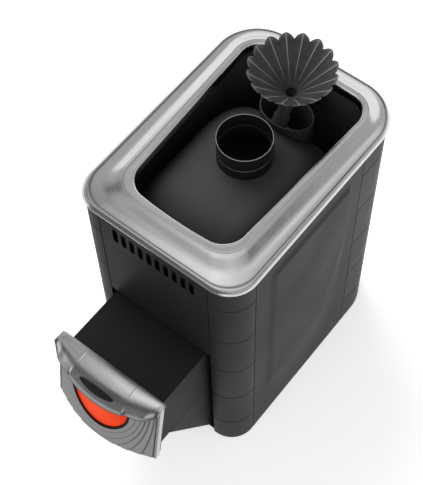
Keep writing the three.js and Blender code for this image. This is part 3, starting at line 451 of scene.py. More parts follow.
@dataclass(frozen=True)
class MineralRope(Finish):
    """Braided mineral rope: pale fibres with soot in the valleys."""

    fibre_stretch: Point3 = (500, 500, 2600)
    fibre_noise: Point2 = (1.0, 3)
    fibre_tones: Point2 = (0.65, 1.2)
    soot_noise: Point2 = (30, 3)
    soot_span: Point2 = (0.5, 0.8)
    soot_share: Point2 = (0, 0.6)
    soot_tone: float = 0.25
    fuzz: float = 0.2
    relief: Point2 = (0.5, 0.0005)

    def wire(self, wiring: Wiring) -> None:
        """Wires fibres and soot.

        Args:
            wiring: the material's nodes.
        """
        fibres = wiring.noise(wiring.coords(self.fibre_stretch), *self.fibre_noise)
        soot = wiring.noise(wiring.coords(), *self.soot_noise)
        colour = wiring.mix(fibres, *self.tones(self.fibre_tones))
        stains = wiring.spread(soot, self.soot_span, self.soot_share)
        colour = wiring.mix(stains, colour, self.tone(self.soot_tone))
        wiring.shade(Base_Color=colour, Roughness=self.roughness, Sheen_Weight=self.fuzz)
        wiring.bump(fibres, *self.relief)


@dataclass(frozen=True)
class ZincCoat(Finish):
    """Galvanised steel with a faint spangle."""

    uneven: Point2 = (-0.06, 0.08)
    crystals: float = 160
    crystal_span: Point2 = (0, 0.7)
    crystal_tones: Point2 = (0.8, 1.15)
    metal: float = 0.9
    relief: Point2 = (0.05, 0.0002)

    def wire(self, wiring: Wiring) -> None:
        """Wires the crystals of the coat.

        Args:
            wiring: the material's nodes.
        """
        crystals = wiring.node("ShaderNodeTexVoronoi", Vector=wiring.coords(), Scale=self.crystals)
        tone = wiring.spread(crystals.outputs["Distance"], self.crystal_span, WHOLE)
        colour = wiring.mix(tone, *self.tones(self.crystal_tones))
        rough = self.gloss(wiring, tone, WHOLE)
        wiring.shade(Base_Color=colour, Metallic=self.metal, Roughness=rough)
        wiring.bump(tone, *self.relief)


PANEL_PAINT = SheetPaint("panel_paint", "anthracite_paint", (0.017, 0.017, 0.0173), 0.56, specular=0.22)
POST_PAINT = SheetPaint("post_paint", "post_paint", (0.02, 0.02, 0.0204), 0.54, specular=0.22)
BLACK_STEEL = SheetPaint("black_steel", "black_steel", (0.008, 0.008, 0.0082), 0.6, specular=0.22)
# Black steel in a tone of its own, set to the shaded look of the tunnel's top: painted shade.
TUNNEL_STEEL = SheetPaint("tunnel_steel", "black_steel", (0.012, 0.012, 0.0122), 0.58, specular=0.2)
# Black steel painted far lighter for the hopper and the plates inside it, as painted light where the lamps
# hardly reach.
LIT_LINER_STEEL = SheetPaint("lit_liner_steel", "black_steel", (0.07, 0.07, 0.071), 0.7, specular=0.12)
BOX_STEEL = SheetPaint("box_steel", "firebox_steel", (0.04, 0.04, 0.0405), 0.55, clouds=0.14)
COLLAR_STEEL = TurnedSteel("collar_steel", "collar_steel", (0.012, 0.012, 0.0123), 0.45)
FUNNEL_STEEL = TurnedSteel("funnel_steel", "funnel_steel", (0.044, 0.044, 0.0445), 0.42, rings=90)
RIM_STEEL = BrushedSteel("rim_steel", "stainless", (0.74, 0.74, 0.735), 0.2, contrast=0.04, relief=0.02)
VISOR_STEEL = BrushedSteel(
    "visor_steel", "stainless", (0.72, 0.72, 0.72), 0.24, grain=(40, 700, 700), contrast=0.04, relief=0.02
)
DOOR_STEEL = BrushedSteel("door_steel", "door_steel", (0.6, 0.6, 0.6), 0.3, grain=(60, 60, 900))
BADGE_STEEL = BrushedSteel("badge_steel", "door_steel", (0.1, 0.1, 0.102), 0.36, grain=(60, 700, 700))
CAST_IRON = CastIron("cast_iron", "cast_iron", (0.022, 0.021, 0.02), 0.75)
HOT_GLASS = HotGlass("hot_glass", "glow_glass", (0.72, 0.03, 0.004), 0.12)
ROPE = MineralRope("mineral_rope", "rope_seal", (0.3, 0.29, 0.26), 0.95)
ZINC = ZincCoat("zinc_coat", "zinc", (0.3, 0.305, 0.31), 0.4)


# Mesh tools; sizes are millimetres, with the casing's front plane at y = 0


def link(name: str, data: bpy.types.ID) -> Piece:
    """Puts a mesh, a lamp or a camera into the scene.

    Args:
        name: the object's name.
        data: its mesh, lamp or camera.

    Returns:
        The new object.
    """
    piece = bpy.data.objects.new(name, data)
    bpy.context.scene.collection.objects.link(piece)
    return piece


def close_up(mesh: bpy.types.Mesh) -> None:
    """Joins a closed mesh's doubled points, drops its slivers and turns its faces out.

    Args:
        mesh: the mesh, which is changed.
    """
    work = bmesh.new()
    work.from_mesh(mesh)
    bmesh.ops.remove_doubles(work, verts=work.verts, dist=MERGE)
    bmesh.ops.dissolve_degenerate(work, edges=work.edges, dist=SLIVER)
    bmesh.ops.recalc_face_normals(work, faces=work.faces)
    if work.calc_volume(signed=True) < 0:
        bmesh.ops.reverse_faces(work, faces=work.faces)
    work.to_mesh(mesh)
    work.free()


def placed(points: Array) -> list[list[float]]:
    """Turns points in millimetres into places in the scene."""
    return (np.asarray(points, float) * MM + (0, FRONT_Y, 0)).tolist()


def make_piece(name: str, points: Array, faces: Sequence[Sequence[int]]) -> Piece:
    """Makes a closed piece out of points in millimetres.

    Args:
        name: the piece's name.
        points: corner points.
        faces: corner numbers of each face.

    Returns:
        The new object, with its faces pointing out.
    """
    mesh = bpy.data.meshes.new(name)
    mesh.from_pydata(placed(points), [], faces)
    close_up(mesh)
    return link(name, mesh)


def skin(name: str, rings: Array, loop: bool = False) -> Piece:
    """Makes a skin over closed rings of points.

    Args:
        name: the piece's name.
        rings: an array of rings, points and coordinates.
        loop: joins the last ring to the first; otherwise both ends get a cap.

    Returns:
        The new object.
    """
    rings = np.asarray(rings, float)
    rows, count = rings.shape[:2]
    faces = []
    for row in range(rows if loop else rows - 1):
        here, there = row * count, (row + 1) % rows * count
        for i in range(count):
            j = (i + 1) % count
            faces.append((here + i, here + j, there + j, there + i))
    if not loop:
        faces.append(tuple(range(count))[::-1])
        faces.append(tuple(range((rows - 1) * count, rows * count)))
    return make_piece(name, rings.reshape(-1, 3), faces)


def slab(name: str, outer: Array, inner: Array, keep: Array | None = None) -> Piece:
    """Makes a closed shell between two grids of points.

    Args:
        name: the piece's name.
        outer: the grid of the outer face.
        inner: the grid of the inner face.
        keep: which cells are solid; all of them when left out.

    Returns:
        The new object.
    """
    rows, count = outer.shape[:2]
    keep = np.ones((rows - 1, count - 1), bool) if keep is None else keep
    back = rows * count
    padded = np.pad(keep, 1)
    faces = []
    for i, j in np.argwhere(keep):
        a, b = int(i * count + j), int((i + 1) * count + j)
        c, d = b + 1, a + 1
        faces.append((a, b, c, d))
        faces.append((back + d, back + c, back + b, back + a))
        sides = (((-1, 0), d, a), ((1, 0), b, c), ((0, -1), a, b), ((0, 1), c, d))
        for (di, dj), start, end in sides:
            if not padded[i + 1 + di, j + 1 + dj]:
                faces.append((end, start, back + start, back + end))
    return make_piece(name, np.concatenate([outer.reshape(-1, 3), inner.reshape(-1, 3)]), faces)


def all_round(count: int = ROUND_SIDES) -> Array:
    """Gives equal steps round a full turn, in radians."""
    return np.linspace(0, 2 * pi, count, endpoint=False)


def turned(name: str, profile: Sequence[Point2], centre: Point2, sides: int = ROUND_SIDES) -> Piece:
    """Turns a closed profile of (radius, height) points round a vertical axis.

    Args:
        name: the piece's name.
        profile: the section.
        centre: where the axis stands.
        sides: steps round the axis.

    Returns:
        The new object.
    """
    section = np.asarray(profile, float)
    angles = all_round(sides)
    rings = np.zeros((sides, len(section), 3))
    rings[..., 0] = centre[0] + np.outer(np.cos(angles), section[:, 0])
    rings[..., 1] = centre[1] + np.outer(np.sin(angles), section[:, 0])
    rings[..., 2] = section[:, 1]
    return skin(name, rings, loop=True)


def prism(name: str, outline: Sequence[Point2], ends: Point2, axis: int = 2) -> Piece:
    """Draws a flat outline out along an axis, between two ends."""
    flat = np.asarray(outline, float)
    return skin(name, np.array([np.insert(flat, axis, end, axis=1) for end in ends]))


def square(across: Point2, up: Point2) -> list[Point2]:
    """Gives a rectangle, as an outline or as the section of a plain ring."""
    (left, right), (low, high) = across, up
    return [(left, low), (right, low), (right, high), (left, high)]


def quarter(centre: Point2, radii: Point2, start: float, steps: int) -> list[Point2]:
    """Gives the points of a quarter turn that starts after so many quarter turns."""
    angles = (start + np.linspace(0, 1, steps + 1)) * pi / 2
    return [(centre[0] + radii[0] * cos(a), centre[1] + radii[1] * sin(a)) for a in angles]


def box_outline(halves: Point2, ends: Point2, radii: Point2, steps: int = 20) -> list[Point2]:
    """Gives a plan outline with its own front and rear widths and corners.

    Args:
        halves: half widths at the front and the rear.
        ends: where the front and the rear lie.
        radii: corner radii at the front and the rear.
        steps: steps in each corner.

    Returns:
        The closed outline.
    """
    (wide, far), (front, rear), (r, s) = halves, ends, radii
    before, behind = front + r, rear - s
    corners = ((wide - r, before, r), (far - s, behind, s), (s - far, behind, s), (r - wide, before, r))
    return [p for i, (x, y, c) in enumerate(corners, -1) for p in quarter((x, y), (c, c), i, steps)]


def flowing(points: Sequence[Sequence[float]], steps: int) -> Array:
    """Runs a smooth line through points.

    Args:
        points: points to pass through.
        steps: steps between two of them.

    Returns:
        The points of the line.
    """
    knots = np.asarray(points, float)
    ends = np.vstack([2 * knots[0] - knots[1], knots, 2 * knots[-1] - knots[-2]])
    t = np.linspace(0, 1, steps, endpoint=False)[:, None]
    runs = []
    for a, b, c, d in zip(ends, ends[1:], ends[2:], ends[3:]):
        curve = 2 * b + (c - a) * t + (2 * a - 5 * b + 4 * c - d) * t**2 + (3 * b - a - 3 * c + d) * t**3
        runs.append(curve / 2)
    return np.vstack([*runs, knots[-1:]])


def smoothstep(low: float, high: float, value: Array) -> Array:
    """Rises smoothly from 0 at low to 1 at high."""
    share = np.clip((np.asarray(value, float) - low) / (high - low), 0, 1)
    return share * share * (3 - 2 * share)


def bake(piece: Piece) -> Piece:
    """Turns a piece's modifiers into its mesh.

    Args:
        piece: the object.

    Returns:
        The same object, with a plain mesh.
    """
    bpy.context.view_layer.update()
    graph = bpy.context.evaluated_depsgraph_get()
    mesh = bpy.data.meshes.new_from_object(piece.evaluated_get(graph))
    piece.modifiers.clear()
    piece.data = mesh
    return piece


def combine(piece: Piece, tools: Sequence[Piece], cut: Cut = Cut.AWAY) -> Piece:
    """Cuts tools out of a piece, or keeps what it has in common with them.

    Args:
        piece: the piece that stays.
        tools: the pieces that are used up.
        cut: what they leave of the piece.

    Returns:
        The piece.
    """
    for tool in tools:
        modifier = piece.modifiers.new("cut", "BOOLEAN")
        modifier.operation = cut.value
        modifier.solver = "EXACT"
        modifier.object = tool
        bake(piece)
        bpy.data.objects.remove(tool)
    close_up(piece.data)
    return piece


def smooth(piece: Piece, crease: Crease) -> Piece:
    """Shades a piece smooth, with sharp edges past an angle.

    Args:
        piece: the object.
        crease: the angle.

    Returns:
        The piece.
    """
    mesh = piece.data
    mesh.polygons.foreach_set("use_smooth", [True] * len(mesh.polygons))
    mesh.set_sharp_from_angle(angle=radians(crease.value))
    return piece


def round_edges(piece: Piece, width: float) -> Piece:
    """Rounds a piece's sharp edges and keeps its flats flat.

    Args:
        piece: the object.
        width: the rounding in millimetres.

    Returns:
        The piece.
    """
    modifier = piece.modifiers.new("edges", "BEVEL")
    modifier.width = width * MM
    modifier.segments = EDGE_STEPS
    modifier.limit_method = "ANGLE"
    modifier.angle_limit = radians(EDGE_ANGLE)
    bake(piece)
    smooth(piece, Crease.STEEP)
    normals = piece.modifiers.new("flats", "WEIGHTED_NORMAL")
    normals.keep_sharp = True
    return bake(piece)


def from_node(node: str) -> Piece:
    """Copies a CAD node's mesh with its corners merged and its flats joined.

    Args:
        node: the node's name.

    Returns:
        The new object.
    """
    work = bmesh.new()
    work.from_mesh(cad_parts[node].data)
    bmesh.ops.remove_doubles(work, verts=work.verts, dist=MERGE)
    flat = radians(FLAT_ANGLE)
    bmesh.ops.dissolve_limit(work, angle_limit=flat, verts=work.verts, edges=work.edges)
    mesh = bpy.data.meshes.new(node)
    work.to_mesh(mesh)
    work.free()
    return link(f"{node}_sheet", mesh)


def store_light_and_wear(piece: Piece, rule: LightAndWearRule) -> None:
    """Stores how much painted highlight, painted shade or glow each corner of a piece gets.

    Args:
        piece: the object.
        rule: gives a share between 0 and 1 for points in millimetres.
    """
    places = np.zeros(len(piece.data.vertices) * 3)
    piece.data.vertices.foreach_get("co", places)
    points = (places.reshape(-1, 3) - (0, FRONT_Y, 0)) / MM
    layer = piece.data.attributes.new("light_and_wear", "FLOAT", "POINT")
    layer.data.foreach_set("value", np.clip(rule(points), 0, 1).astype(np.float32))


def dress(piece: Piece, finish: Finish, body: Body, *nodes: str) -> None:
    """Gives a piece its finish and ties it to the frame.

    Args:
        piece: the finished mesh.
        finish: its finish.
        body: the body that it moves with.
        nodes: the CAD nodes that it stands for.
    """
    piece.data.materials.clear()
    piece.data.materials.append(finish.material())
    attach(piece, body.value)
    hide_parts(*nodes)
    LOG.info("%s: %d faces on %s", piece.name, len(piece.data.polygons), body.value)


Sheet = tuple[str, Finish, Body, float]


def dress_sheet(node: str, finish: Finish, body: Body, width: float = 0.5) -> None:
    """Rounds the edges of a flat CAD node's copy by a width in millimetres and gives it its finish."""
    dress(round_edges(from_node(node), width), finish, body, node)


# Geometry node trees


class NodeTree(Nodes):
    """A geometry node tree that is built once and used by several pieces."""

    title = "tree"
    inputs: tuple[tuple[str, str], ...] = ()

    def __init__(self) -> None:
        """Makes the tree's sockets and lays out its nodes."""
        super().__init__(bpy.data.node_groups.new(self.title, "GeometryNodeTree"))
        face = self.tree.interface
        face.new_socket("Geometry", in_out="INPUT", socket_type="NodeSocketGeometry")
        self.keys = {
            name: face.new_socket(name, in_out="INPUT", socket_type=kind).identifier
            for name, kind in (*self.inputs, ("Finish", "NodeSocketMaterial"))
        }
        face.new_socket("Geometry", in_out="OUTPUT", socket_type="NodeSocketGeometry")
        self.given = self.node("NodeGroupInput").outputs
        whole = self.node("GeometryNodeRealizeInstances", Geometry=self.layout()).outputs[0]
        painted = self.node("GeometryNodeSetMaterial", Geometry=whole, Material=self.given["Finish"])
        self.node("NodeGroupOutput", Geometry=painted.outputs[0])

    def layout(self) -> Socket:
        """Lays out the tree's own nodes and gives their geometry."""
        raise NotImplementedError

    def apply(self, piece: Piece, finish: Finish, **values: object) -> None:
        """Runs the tree on a piece and keeps the result as a plain mesh.

        Args:
            piece: the piece whose mesh goes in.
            finish: the finish of what comes out.
            values: the tree's inputs, named with underscores for spaces.
        """
        modifier = piece.modifiers.new(self.title, "NODES")
        modifier.node_group = self.tree
        modifier[self.keys["Finish"]] = finish.material()
        for key, value in values.items():
            modifier[self.keys[key.replace("_", " ")]] = value
        bake(piece)


class LatticeOfCopies(NodeTree):
    """Copies a unit in columns and rows, such as screws or slots."""

    title = "lattice_of_copies"
    inputs = (
        ("Columns", "NodeSocketInt"),
        ("Column Step", "NodeSocketVector"),
        ("Rows", "NodeSocketInt"),
        ("Row Step", "NodeSocketVector"),
        ("Corner", "NodeSocketVector"),
    )

    def layout(self) -> Socket:
        """Puts a line of points on each point of another line, and the unit on them all."""
        given = self.given
        line = {"Start_Location": given["Corner"], "Offset": given["Column Step"]}
        columns = self.node("GeometryNodeMeshLine", Count=given["Columns"], **line).outputs[0]
        rows = self.node("GeometryNodeMeshLine", Count=given["Rows"], Offset=given["Row Step"]).outputs[0]
        spread = self.node("GeometryNodeInstanceOnPoints", Points=columns, Instance=rows).outputs[0]
        points = self.node("GeometryNodeRealizeInstances", Geometry=spread).outputs[0]
        return self.node("GeometryNodeInstanceOnPoints", Points=points, Instance=given["Geometry"]).outputs[0]


class RodAlongPath(NodeTree):
    """Runs a round rod along a path of edges."""

    title = "rod_along_path"
    inputs = (("Radius", "NodeSocketFloat"), ("Sides", "NodeSocketInt"))

    def layout(self) -> Socket:
        """Sweeps a circle along the path, with closed ends."""
        given = self.given
        path = self.node("GeometryNodeMeshToCurve", Mesh=given["Geometry"]).outputs[0]
        size = {"Resolution": given["Sides"], "Radius": given["Radius"]}
        ring = self.node("GeometryNodeCurvePrimitiveCircle", **size).outputs[0]
        return self.node("GeometryNodeCurveToMesh", Curve=path, Profile_Curve=ring, Fill_Caps=True).outputs[0]


class RopeAlongPath(NodeTree):
    """Lays slanted strands side by side along a path, as in a braided rope."""

    title = "rope_along_path"
    inputs = (
        ("Pitch", "NodeSocketFloat"),
        ("Strand", "NodeSocketVector"),
        ("Lay", "NodeSocketVector"),
    )

    def layout(self) -> Socket:
        """Puts a strand on every step of the path, turned along it and then slanted."""
        path = self.node("GeometryNodeMeshToCurve", Mesh=self.given["Geometry"])
        steps = self.node(
            "GeometryNodeResampleCurve", {"mode": "LENGTH"}, Curve=path.outputs[0], Length=self.given["Pitch"]
        )
        strand = self.node("GeometryNodeMeshIcoSphere", Radius=1.0, Subdivisions=2)
        tangent = self.node("GeometryNodeInputTangent").outputs[0]
        along = self.node("FunctionNodeAlignRotationToVector", {"axis": "X"}, Vector=tangent)
        slant = self.node("FunctionNodeEulerToRotation", Euler=self.given["Lay"])
        turn = self.node("FunctionNodeRotateRotation", {"rotation_space": "LOCAL"})
        self.feed(turn.inputs[0], along.outputs[0])
        self.feed(turn.inputs[1], slant.outputs[0])
        copies = self.node(
            "GeometryNodeInstanceOnPoints",
            Points=steps.outputs[0],
            Instance=strand.outputs[0],
            Rotation=turn.outputs[0],
            Scale=self.given["Strand"],
        )
        return copies.outputs[0]


def path_piece(name: str, points: Array, closed: bool) -> Piece:
    """Makes a path of edges through points in millimetres.

    Args:
        name: the piece's name.
        points: points of the path.
        closed: joins the last point to the first.

    Returns:
        The new object.
    """
    count = len(points)
    edges = [(i, (i + 1) % count) for i in range(count if closed else count - 1)]
    mesh = bpy.data.meshes.new(name)
    mesh.from_pydata(placed(points), edges, [])
    return link(name, mesh)


# Casing and rim


@dataclass
class Casing:
    """The outer casing: panels, corner posts, base and screws."""

    half: float = 207.5
    depth: float = 584.0
    height: float = 739.5
    sheet: float = 2.0
    panel_edge: float = 0.45
    lap: float = 14.0
    front_radius: float = 62.0
    rear_radius: float = 100.0
    front_post: Point2 = (68.0, 66.0)
    rear_post: Point2 = (112.0, 149.0)
    bend_points: int = 33
    seam: float = 2.0
    groove_top: float = 658.0
    groove_pitch: float = 141.0
    groove_count: int = 5
    groove_height: float = 2.4
    groove_depth: float = 0.9
    slot_count: int = 10
    slot_pitch: float = 21.8
    slot_width: float = 13.0
    slot_height: float = 47.0
    slot_bottom: float = 657.0
    slot_cut: float = 8.0
    field_rise: float = 4.5
    field_margin: Point2 = (44.0, 39.0)
    field_span: Point2 = (55.0, 690.0)
    field_sweep: Point2 = (80.0, 110.0)
    field_corner: float = 12.0
    sweep_steps: int = 24
    flank: Point4 = (22.0, 6.0, 125.0, 22.0)
    plateau_sweep: Point2 = (225.0, 370.0)
    grid_step: float = 3.0
    screw_grid: tuple[int, int] = (2, 3)
    screw_dome: Points = ((0, 1), (0.35, 0.97), (0.7, 0.8), (1, 0.35), (1, 0), (0, 0))
    screw_socket: Point2 = (0.45, 0.4)
    screw_clear: float = 9.0
    screw_sides: tuple[int, int] = (32, 6)

    def outline(self, inset: float) -> list[Point2]:
        """Gives the casing's plan outline moved inwards."""
        half, radii = self.half - inset, (self.front_radius - inset, self.rear_radius - inset)
        return box_outline((half, half), (inset, self.depth - inset), radii)

    def front_panel(self, lattice: LatticeOfCopies) -> None:
        """Cuts the vent slots through the front panel.

        Args:
            lattice: the tree that repeats the slot.
        """
        r = self.slot_width / 2
        top = self.slot_height - r
        turns = ((2, r), (3, r), (0, top), (1, top))
        stadium = [p for turn, z in turns for p in quarter((0, z), (r, r), turn, CORNER_STEPS)]
        slot = prism("vent_slot", stadium, (-self.slot_cut, self.slot_cut), 1)
        start = -(self.slot_count - 1) / 2 * self.slot_pitch
        step, corner = (self.slot_pitch * MM, 0, 0), (start * MM, 0, self.slot_bottom * MM)
        lattice.apply(slot, PANEL_PAINT, Columns=self.slot_count, Column_Step=step, Rows=1, Corner=corner)
        low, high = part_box("front_panel")
        outline = square((-high.x / MM, high.x / MM), (low.z / MM, high.z / MM))
        piece = combine(prism("front_panel_sheet", outline, (0, self.sheet), 1), [slot])
        dress(round_edges(piece, self.panel_edge), PANEL_PAINT, Body.STOVE, "front_panel")

    def field_outline(self, across: Point2, up: Point2, sweep: Point2) -> Array:
        """Gives an outline in (y, z) with one large rounded corner at its lower rear.

        Args:
            across: its front and rear ends.
            up: its foot and top.
            sweep: the two radii of the large corner.

        Returns:
            The closed outline.
        """
        (y0, y1), (z0, z1), c = across, up, self.field_corner
        corners = ((y1 - c, z1 - c), (y0 + c, z1 - c), (y0 + c, z0 + c))
        small = [p for i, at in enumerate(corners) for p in quarter(at, (c, c), i, CORNER_STEPS)]
        large = quarter((y1 - sweep[0], z0 + sweep[1]), sweep, -1, self.sweep_steps)
        return np.array([*large, *small])

    @staticmethod
    def signed_distance(points: Array, outline: Array) -> Array:
        """Gives each point's distance to an outline, negative outside it.

        Args:
            points: points in the outline's plane.
            outline: the closed outline.

        Returns:
            One distance for each point.
        """
        best = np.full(len(points), np.inf)
        inside = np.zeros(len(points), bool)
        for a, b in zip(outline, np.roll(outline, -1, axis=0)):
            run = b - a
            length = max(float(run @ run), TINY)
            share = np.clip((points - a) @ run / length, 0, 1)
            best = np.minimum(best, np.linalg.norm(points - a - share[:, None] * run, axis=1))
            crosses = (a[1] > points[:, 1]) != (b[1] > points[:, 1])
            rise = run[1] if abs(run[1]) > TINY else TINY
            inside ^= crosses & (points[:, 0] < a[0] + (points[:, 1] - a[1]) * run[0] / rise)
        return np.where(inside, best, -best)

    def side_panel(self, side: Side) -> None:
        """Presses the raised field into a side panel.

        Args:
            side: left or right.
        """
        front = self.front_post[1] + self.seam
        rear = self.depth - self.rear_post[1] - self.seam
        ys = np.linspace(front, rear, int((rear - front) / self.grid_step))
        zs = np.linspace(0, self.height, int(self.height / self.grid_step))
        y, z = np.meshgrid(ys, zs, indexing="ij")
        points = np.column_stack([y.ravel(), z.ravel()])
        across = (front + self.field_margin[0], rear - self.field_margin[1])
        a, b, c, d = self.flank
        field = self.field_outline(across, self.field_span, self.field_sweep)
        outer = np.clip(self.signed_distance(points, field), 0, None)
        inner_span = (self.field_span[0] + c, self.field_span[1] - d)
        plateau = self.field_outline((across[0] + a, across[1] - b), inner_span, self.plateau_sweep)
        inner = -self.signed_distance(points, plateau)
        share = np.where(inner < 0, 1, outer / np.maximum(outer + inner, MERGE))
        x = side.value * (self.half + self.field_rise * smoothstep(0, 1, share)).reshape(y.shape)
        face = np.stack([x, y, z], axis=-1)
        back = np.stack([np.full_like(x, side.value * (self.half - self.sheet)), y, z], axis=-1)
        node = f"side_panel_{side.name.lower()}"
        piece = slab(f"{node}_sheet", face, back)
        dress(smooth(piece, Crease.MIDDLE), PANEL_PAINT, Body.STOVE, node)

    def post(self, side: Side, at_front: bool) -> None:
        """Bends a corner post, with its groove lines and the strip behind the side panel.

        Args:
            side: left or right.
            at_front: front or rear post.
        """
        face, flank = self.front_post if at_front else self.rear_post
        radius = self.front_radius if at_front else self.rear_radius
        turn = np.linspace(0, pi / 2, self.bend_points)

        def bend(inset: float) -> list[Point2]:
            """Gives the bend's line, moved inwards."""
            r = radius - inset
            arc = ((radius - r * sin(a), radius - r * cos(a)) for a in turn)
            return [(face, inset), *arc, (inset, flank)]

        t = self.sheet + GAP
        deep = t + self.sheet
        strip = [(t, flank), (t, flank + self.lap), (deep, flank + self.lap), (deep, flank - self.lap)]
        strip.append((self.sheet, flank - self.lap))
        inner = bend(self.sheet)[::-1][1:]

        def ring(cut: float, z: float) -> list[Point3]:
            """Gives the post's section at a height, with its face cut back."""
            flat = [*bend(cut), *strip, *inner]
            return [(side.value * (self.half - u), v if at_front else self.depth - v, z) for u, v in flat]

        rings = [ring(0, 0)]
        soft = self.groove_depth / 2
        for i in reversed(range(self.groove_count)):
            z = self.groove_top - i * self.groove_pitch
            edges = ((0, z - soft), (self.groove_depth, z), (self.groove_depth, z + self.groove_height))
            rings += [ring(cut, at) for cut, at in edges]
            rings.append(ring(0, z + self.groove_height + soft))
        rings.append(ring(0, self.height))
        node = f"corner_post_{'front' if at_front else 'rear'}_{side.name.lower()}"
        piece = skin(f"{node}_sheet", np.array(rings))
        dress(smooth(piece, Crease.LOW), POST_PAINT, Body.STOVE, node)

    def screws(self, lattice: LatticeOfCopies) -> None:
        """Puts the domed socket screws on the rear panel.

        Args:
            lattice: the tree that repeats the screw.
        """
        low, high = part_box("rear_panel_screw_1")
        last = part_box("rear_panel_screw_6")[1]
        radius = (high.x - low.x) / 2 / MM
        tall = (high.y - low.y) / MM
        dome = [(share * radius, rise * tall) for share, rise in self.screw_dome]
        head = turned("screw_head", dome, (0, 0), self.screw_sides[0])
        bore, floor = self.screw_socket
        hollow = square((0, bore * radius), (floor * tall, self.screw_clear))
        combine(head, [turned("socket", hollow, (0, 0), self.screw_sides[1])])
        head.data.transform(Matrix.Translation((0, -FRONT_Y, 0)))
        head.data.transform(Matrix.Rotation(radians(-90), 4, "X"))
        head.name = "rear_panel_screws"
        centre = (low + high) / 2
        columns, rows = self.screw_grid
        across, up = (last.x - high.x, 0, 0), (0, 0, (last.z - high.z) / (rows - 1))
        corner = (centre.x, low.y, centre.z)
        lattice.apply(head, ZINC, Columns=columns, Column_Step=across, Rows=rows, Row_Step=up, Corner=corner)
        nodes = [f"rear_panel_screw_{i + 1}" for i in range(columns * rows)]
        dress(smooth(head, Crease.LOW), ZINC, Body.STOVE, *nodes)

    def build(self, lattice: LatticeOfCopies) -> None:
        """Builds and dresses the casing.

        Args:
            lattice: the tree that repeats slots and screws.
        """
        self.front_panel(lattice)
        dress_sheet("rear_panel", PANEL_PAINT, Body.STOVE)
        dress_sheet("base_plate", BLACK_STEEL, Body.STOVE)
        for side in Side:
            self.side_panel(side)
            self.post(side, True)
            self.post(side, False)
        self.screws(lattice)


@dataclass
class TopRim:
    """The stamped steel rim round the stone opening.

    Its section is given in (share of the way in, height) points, from the lip and from the crest.
    """

    casing: Casing
    overhang: float = 5.0
    opening: Point2 = (82.0, 533.0)
    halves: Point2 = (133.0, 151.0)
    radius: float = 46.0
    front_bow: float = 10.0
    lip: float = 741.4
    lip_height: float = 8.6
    crest: float = 753.9
    sheet: float = 1.6
    flange: float = 22.0
    skirt: float = 0.05
    turned_in: float = 0.022
    flange_from: float = 0.9
    foot_share: float = 0.004
    from_lip: Points = (
        (0.0, -6.6), (0.004, -5.0), (0.03, -2.2), (0.07, -0.1), (0.105, 0.9), (0.125, 0.8), (0.145, -0.2),
        (0.16, -0.4), (0.18, -0.2), (0.27, 0.6), (0.38, 2.0), (0.48, 4.2), (0.58, 7.2), (0.67, 10.0),
    )
    from_crest: Points = (
        (0.74, -0.7), (0.77, 0.0), (0.785, -0.5), (0.8, -0.2), (0.88, -0.5), (0.95, -1.2), (0.985, -2.2),
        (1.0, -5.0),
    )
    section_steps: int = 4
    # Painted shade lines along the stamped groove and the crest: share of the way in, width, darkness.
    groove_shade_lines: tuple[Point3, ...] = ((0.15, 0.05, 0.85), (0.785, 0.014, 0.6))
    corner_steps: int = 28
    straight_parts: int = 8

    def profile(self) -> Array:
        """Gives the rim's section.

        Returns:
            Its (share of the way in, height) points: the upper face, then the lower face.
        """
        foot, hem = self.lip - self.lip_height, self.crest - self.flange
        knots = [
            (self.foot_share, foot),
            *((share, self.lip + up) for share, up in self.from_lip),
            *((share, self.crest + up) for share, up in self.from_crest),
            (1.0, hem),
        ]
        upper = flowing(knots, self.section_steps)
        lower = upper[::-1].copy()
        lower[:, 1] -= self.sheet
        lower[:, 0] = np.clip(lower[:, 0], self.skirt, 1 - self.turned_in)
        rest = np.where(lower[:, 0] > self.skirt, self.casing.height + GAP, foot)
        lower[:, 1] = np.maximum(lower[:, 1], np.where(lower[:, 0] > self.flange_from, hem, rest))
        return np.vstack([upper, lower])

    def rings(self, profile: Array) -> Array:
        """Carries the section round the casing.

        Args:
            profile: the rim's section.

        Returns:
            One section for each step round the rim.
        """
        c, o = self.casing, self.overhang
        wide, radii = c.half + o, (c.front_radius + o, c.rear_radius + o)
        outer = self.spaced(box_outline((wide, wide), (-o, c.depth + o), radii, self.corner_steps))
        corners = (self.radius, self.radius)
        inner = self.spaced(box_outline(self.halves, self.opening, corners, self.corner_steps))
        ahead = np.clip(1 - (inner[:, 1] - self.opening[0]) / self.radius, 0, 1)
        inner[:, 1] -= self.front_bow * ahead * (1 - (inner[:, 0] / self.halves[0]) ** 2)
        share = profile[:, 0][None, :, None]
        plan = outer[:, None, :] * (1 - share) + inner[:, None, :] * share
        height = np.broadcast_to(profile[:, 1][None, :, None], (*plan.shape[:2], 1))
        return np.concatenate([plan, height], axis=2)

    def build(self) -> None:
        """Builds the rim and paints shade into the lines of its stamped groove and its crest."""
        profile = self.profile()
        rings = self.rings(profile)
        piece = smooth(skin("top_rim_sheet", rings, loop=True), Crease.HIGH)
        dark = np.zeros(len(profile))
        # Painted shade: darker lines along the groove and the crest, stored on the rim.
        for at, width, depth in self.groove_shade_lines:
            dark = np.maximum(dark, depth * np.clip(1 - np.abs(profile[:, 0] - at) / width, 0, 1))
        near = KDTree(rings.shape[0] * rings.shape[1])
        for i, point in enumerate(rings.reshape(-1, 3)):
            near.insert(point, i)
        near.balance()
        store_light_and_wear(piece, lambda points: np.array([dark[near.find(p)[1] % len(dark)] for p in points]))
        dress(piece, RIM_STEEL, Body.STOVE, "top_rim")

    def spaced(self, outline: Sequence[Point2]) -> Array:
        """Adds points along an outline's straight runs.

        Args:
            outline: four corners of equally many points.

        Returns:
            The outline with its added points.
        """
        points, count, parts = np.array(outline), self.corner_steps + 1, self.straight_parts
        made = []
        for i, point in enumerate(points):
            made.append(point)
            if i % count == count - 1:
                after = points[(i + 1) % len(points)]
                made += [point + (after - point) * k / parts for k in range(1, parts)]
        return np.array(made)


# Hopper, firebox, chimney collar and steam feed


